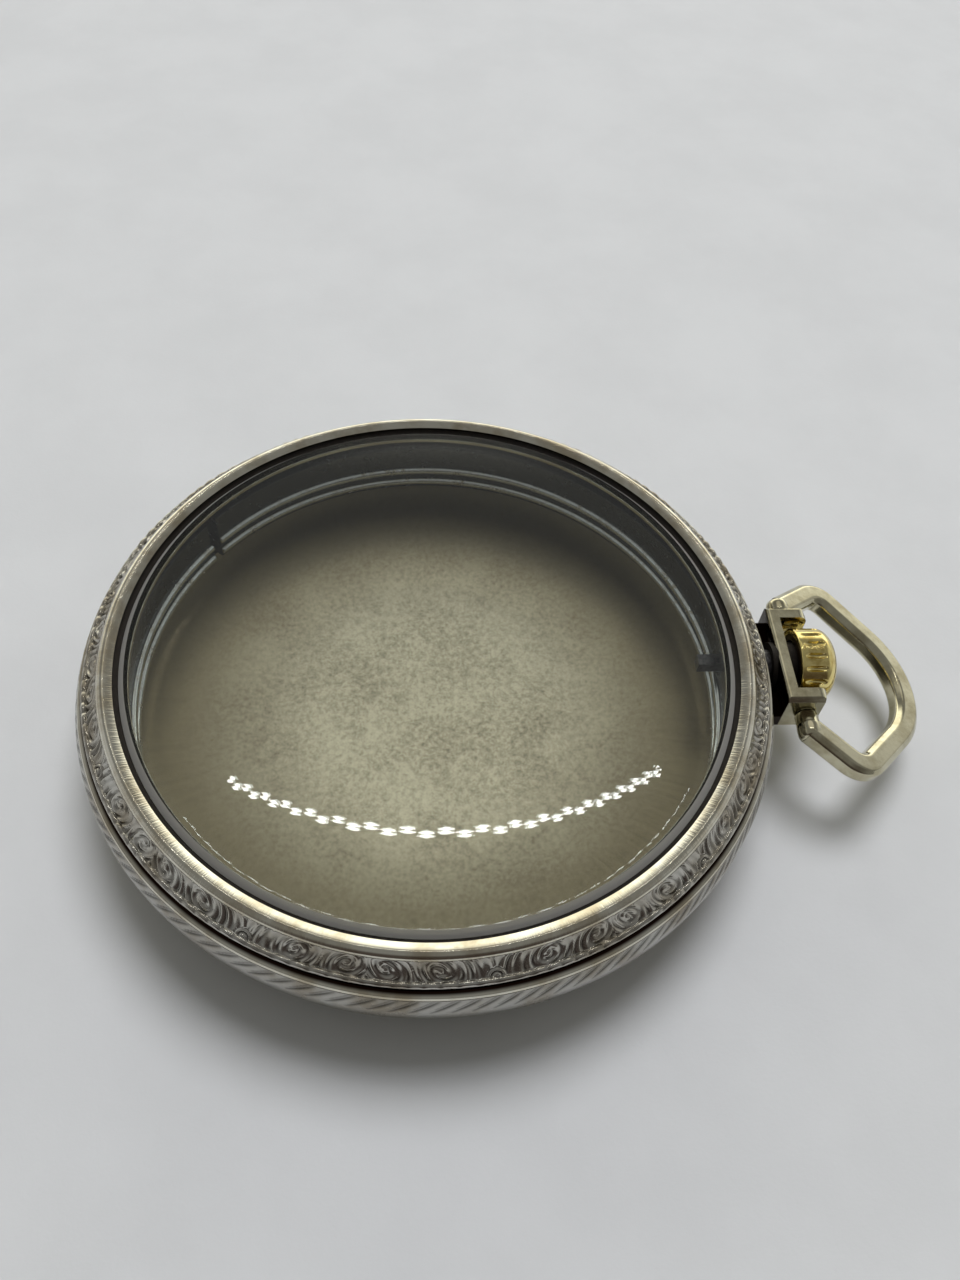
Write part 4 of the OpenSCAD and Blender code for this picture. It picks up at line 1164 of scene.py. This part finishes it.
class WATCH_OT_inner_parts(bpy.types.Operator):
    """Finishes for the tube, sleeve, stem, core and washer, which keep their CAD shapes"""
    bl_idname = "watch.inner_parts"
    bl_label = "Inner parts"

    def execute(self, context):
        colours = context.scene.finish_colours
        finishes = {
            # Painted shade: the neck tube takes the cement's near black, so the gap between
            # band and cradle stays dark.
            "neck_tube": speckled("neck_tube_painted_shade", colours.cement, 0.3, 0.6),
            "stem_sleeve": speckled("spring_steel", colours.steel, 1.0, 0.4),
            "winding_stem": speckled("hardened_steel", colours.steel, 1.0, 0.35),
            # Painted shade: the core's dark colour stands for the shade where it shows at the
            # crown's open edge.
            "crown_core": speckled("turned_brass", colours.core, 1.0, 0.4),
            "crown_washer": speckled("pressed_leather", colours.leather, 0.0, 0.8)}
        for name, material in finishes.items():
            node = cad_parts[name]
            node.data.materials.clear()
            node.data.materials.append(material)
        return {"FINISHED"}


class WATCH_OT_stage(bpy.types.Operator):
    """Sheet of paper, key lamp, sky and camera"""
    bl_idname = "watch.stage"
    bl_label = "Stage"

    def execute(self, context):
        scene, s = context.scene, in_mm(context.scene.studio_sizes)
        camera(scene, s)
        half = s.floor_half
        floor = piece("paper", box_surface((-half, -half, -2), (half, half, 0)), sharp=30)
        floor.data.materials.append(paper_sheet(scene.finish_colours))
        lamp = bpy.data.lights.new("key", "AREA")
        lamp.shape, lamp.size, lamp.energy = "DISK", s.key_size*MM, s.key_power
        lamp.color = s.key_colour[:3]
        key = bpy.data.objects.new("key", lamp)
        a, e = s.key_azimuth, s.key_elevation
        towards = np.array([np.cos(a)*np.cos(e), np.sin(a)*np.cos(e), np.sin(e)])
        key.location = towards*s.key_distance*MM
        key.rotation_euler = (np.pi/2 - e, 0, a + np.pi/2)
        key.visible_glossy = key.visible_transmission = False
        scene.collection.objects.link(key)
        sky(scene)
        scene.view_settings.view_transform = "Standard"
        return {"FINISHED"}


def camera(scene, s):
    """A camera turned by azimuth, elevation and roll, at a distance from the case's axis."""
    e, z, roll = s.elevation, s.azimuth, s.roll
    back = np.array([np.sin(z)*np.cos(e), -np.cos(z)*np.cos(e), np.sin(e)])
    right = np.cross([0, 0, 1], back)
    right /= np.linalg.norm(right)
    up = np.cross(back, right)
    right, up = (right*np.cos(roll) + up*np.sin(roll), up*np.cos(roll) - right*np.sin(roll))
    at = np.array([0, 0, s.aim_z]) + back*s.distance + right*s.aside + up*s.above
    data = bpy.data.cameras.new("camera")
    data.lens, data.sensor_width, data.sensor_fit = s.lens, SENSOR, "AUTO"
    data.clip_start, data.clip_end = 0.001, 100
    made = bpy.data.objects.new("camera", data)
    turned = Matrix(np.stack([right, up, back], 1).tolist()).to_4x4()
    made.matrix_world = Matrix.Translation((at*MM).tolist()) @ turned
    scene.collection.objects.link(made)
    scene.camera = made


def sky(scene):
    """A soft room: a bright far wall, a pale ceiling, dark where whoever looks at the case
    stands, and a chain of small lamps. Each patch of light has a middle and a reach along
    X, Y and Z, as directions, and fades to nothing at its reach."""
    world = bpy.data.worlds.new("room")
    world.use_nodes = True
    scene.world = world
    tree = world.node_tree
    shader = tree.nodes["Background"]
    way = (add_node(tree, "ShaderNodeTexCoord"), "Generated")
    total = add_node(tree, "ShaderNodeVectorMath", {0: (0.23, 0.23, 0.225), "Scale": 1.0},
                     operation="SCALE")
    patches = [((0.05, 0.98, 0.14), (1.20, 1.0, 0.46), (1.9, 1.86, 1.60)),
               ((0.0, 0.50, 0.87), (0.50, 0.45, 0.30), (0.42, 0.40, 0.35)),
               ((-0.90, 0.2, 0.30), (0.5, 0.7, 0.5), (0.24, 0.24, 0.24)),
               ((0.90, 0.2, 0.30), (0.5, 0.7, 0.5), (0.30, 0.30, 0.29)),
               ((0.0, -1.0, 0.25), (1.0, 0.85, 0.70), (-0.155, -0.168, -0.168))]
    for middle, reach, tint in patches:
        off = add_node(tree, "ShaderNodeVectorMath", {0: way, 1: middle},
                       operation="SUBTRACT")
        off = add_node(tree, "ShaderNodeVectorMath", {0: (off, 0), 1: reach},
                       operation="DIVIDE")
        far = add_node(tree, "ShaderNodeVectorMath", {0: (off, 0)}, operation="LENGTH")
        share = add_node(tree, "ShaderNodeMapRange", {0: (far, "Value"), 1: 0.45, 2: 1.0,
                                                      3: 1.0, 4: 0.0},
                         interpolation_type="SMOOTHSTEP")
        light = add_node(tree, "ShaderNodeVectorMath", {0: tint, "Scale": (share, 0)},
                         operation="SCALE")
        total = add_node(tree, "ShaderNodeVectorMath", {0: (total, 0), 1: (light, 0)})
    lamps = lamp_chain(tree, way)
    light = add_node(tree, "ShaderNodeVectorMath", {0: (22, 22, 21.5), "Scale": (lamps, 0)},
                     operation="SCALE")
    total = add_node(tree, "ShaderNodeVectorMath", {0: (total, 0), 1: (light, 0)})
    tree.links.new(total.outputs[0], shader.inputs["Color"])


def lamp_chain(tree, way, axis=(0.029, 0.723, 0.690), place=0.8823, pitch=0.0026,
               step=0.119, tall=0.52, wide=0.25, middle=0.068, reach=0.71):
    """1 on each lamp of a chain and 0 elsewhere. Three rows of diamonds run round an axis,
    a pitch apart, the middle one where the direction's share along the axis is place. The
    outer rows have a lamp at each step, half a step from each other, and the middle one has
    a lamp by each of theirs. At the phase p a lamp's place is p + p*p*p, so they crowd
    towards the ends. A lamp is tall pitches high and wide steps wide on either side of its
    middle, and the chain reaches so far on either side of its own."""
    axis = np.array(axis)/np.linalg.norm(axis)
    side = np.cross(axis, [0, 0, 1])
    side /= np.linalg.norm(side)
    up = -np.cross(axis, side)
    along, x, y = (add_node(tree, "ShaderNodeVectorMath", {0: way, 1: v.tolist()},
                            operation="DOT_PRODUCT") for v in (axis, side, up))
    phase = add_node(tree, "ShaderNodeMath", {0: (x, "Value"), 1: (y, "Value")},
                     operation="ARCTAN2")
    off = add_node(tree, "ShaderNodeMath", {0: (along, "Value"), 1: place},
                   operation="SUBTRACT")
    cube = add_node(tree, "ShaderNodeMath", {0: (phase, 0), 1: 3.0}, operation="POWER")
    spread = add_node(tree, "ShaderNodeMath", {0: (phase, 0), 1: (cube, 0)})
    level = add_node(tree, "ShaderNodeMath", {0: (off, 0), 1: pitch}, operation="DIVIDE")
    row = add_node(tree, "ShaderNodeMath", {0: (level, 0)}, operation="ROUND")
    off = add_node(tree, "ShaderNodeMath", {0: (level, 0), 1: (row, 0)},
                   operation="SUBTRACT")
    off = add_node(tree, "ShaderNodeMath", {0: (off, 0)}, operation="ABSOLUTE")
    off = add_node(tree, "ShaderNodeMath", {0: (off, 0), 1: tall}, operation="DIVIDE")
    upper = add_node(tree, "ShaderNodeMath", {0: (row, 0), 1: 0.5}, operation="GREATER_THAN")
    shifted = add_node(tree, "ShaderNodeMath", {0: (upper, 0), 1: step/2, 2: (spread, 0)},
                       operation="MULTIPLY_ADD")
    outer = add_node(tree, "ShaderNodeMath", {0: (row, 0)}, operation="ABSOLUTE")
    apart = add_node(tree, "ShaderNodeMath", {0: (outer, 0), 1: step/4, 2: step/4},
                     operation="MULTIPLY_ADD")
    wave = add_node(tree, "ShaderNodeMath", {0: (shifted, 0), 1: (apart, 0)},
                    operation="PINGPONG")
    wave = add_node(tree, "ShaderNodeMath", {0: (wave, 0), 1: wide*step}, operation="DIVIDE")
    lamp = add_node(tree, "ShaderNodeMath", {0: (off, 0), 1: (wave, 0)})
    lamp = add_node(tree, "ShaderNodeMath", {0: (lamp, 0), 1: 1.0}, operation="LESS_THAN")
    ends = add_node(tree, "ShaderNodeMath", {0: (phase, 0), 1: middle, 2: reach},
                    operation="COMPARE")
    rows = add_node(tree, "ShaderNodeMath", {0: (outer, 0), 1: 1.5}, operation="LESS_THAN")
    lamp = add_node(tree, "ShaderNodeMath", {0: (lamp, 0), 1: (rows, 0)},
                    operation="MULTIPLY")
    return add_node(tree, "ShaderNodeMath", {0: (lamp, 0), 1: (ends, 0)},
                    operation="MULTIPLY")


OPERATORS = [WATCH_OT_stage, WATCH_OT_back, WATCH_OT_band, WATCH_OT_ring, WATCH_OT_bezel,
             WATCH_OT_crystal, WATCH_OT_cradle, WATCH_OT_inner_parts, WATCH_OT_crown,
             WATCH_OT_bow]


class WATCH_PT_pieces(bpy.types.Panel):
    """Lists the pieces of the watch case and the stage"""
    bl_idname = "WATCH_PT_pieces"
    bl_label = "Watch case"
    bl_space_type = "VIEW_3D"
    bl_region_type = "UI"
    bl_category = "Watch Case"

    def draw(self, context):
        for operator in OPERATORS:
            self.layout.operator(operator.bl_idname)


CLASSES = [*GROUPS.values(), *OPERATORS, WATCH_PT_pieces]


def register():
    """Registers the classes and hangs the property groups on the scene."""
    for cls in CLASSES:
        bpy.utils.register_class(cls)
    for name, group in GROUPS.items():
        setattr(bpy.types.Scene, name, PointerProperty(type=group))


def unregister():
    """Takes away what register brought."""
    for name in GROUPS:
        delattr(bpy.types.Scene, name)
    for cls in reversed(CLASSES):
        bpy.utils.unregister_class(cls)


def main():
    """Registers the classes and makes every piece."""
    register()
    for operator in OPERATORS:
        group, name = operator.bl_idname.split(".")
        getattr(getattr(bpy.ops, group), name)()


if __name__ == "__main__":
    main()
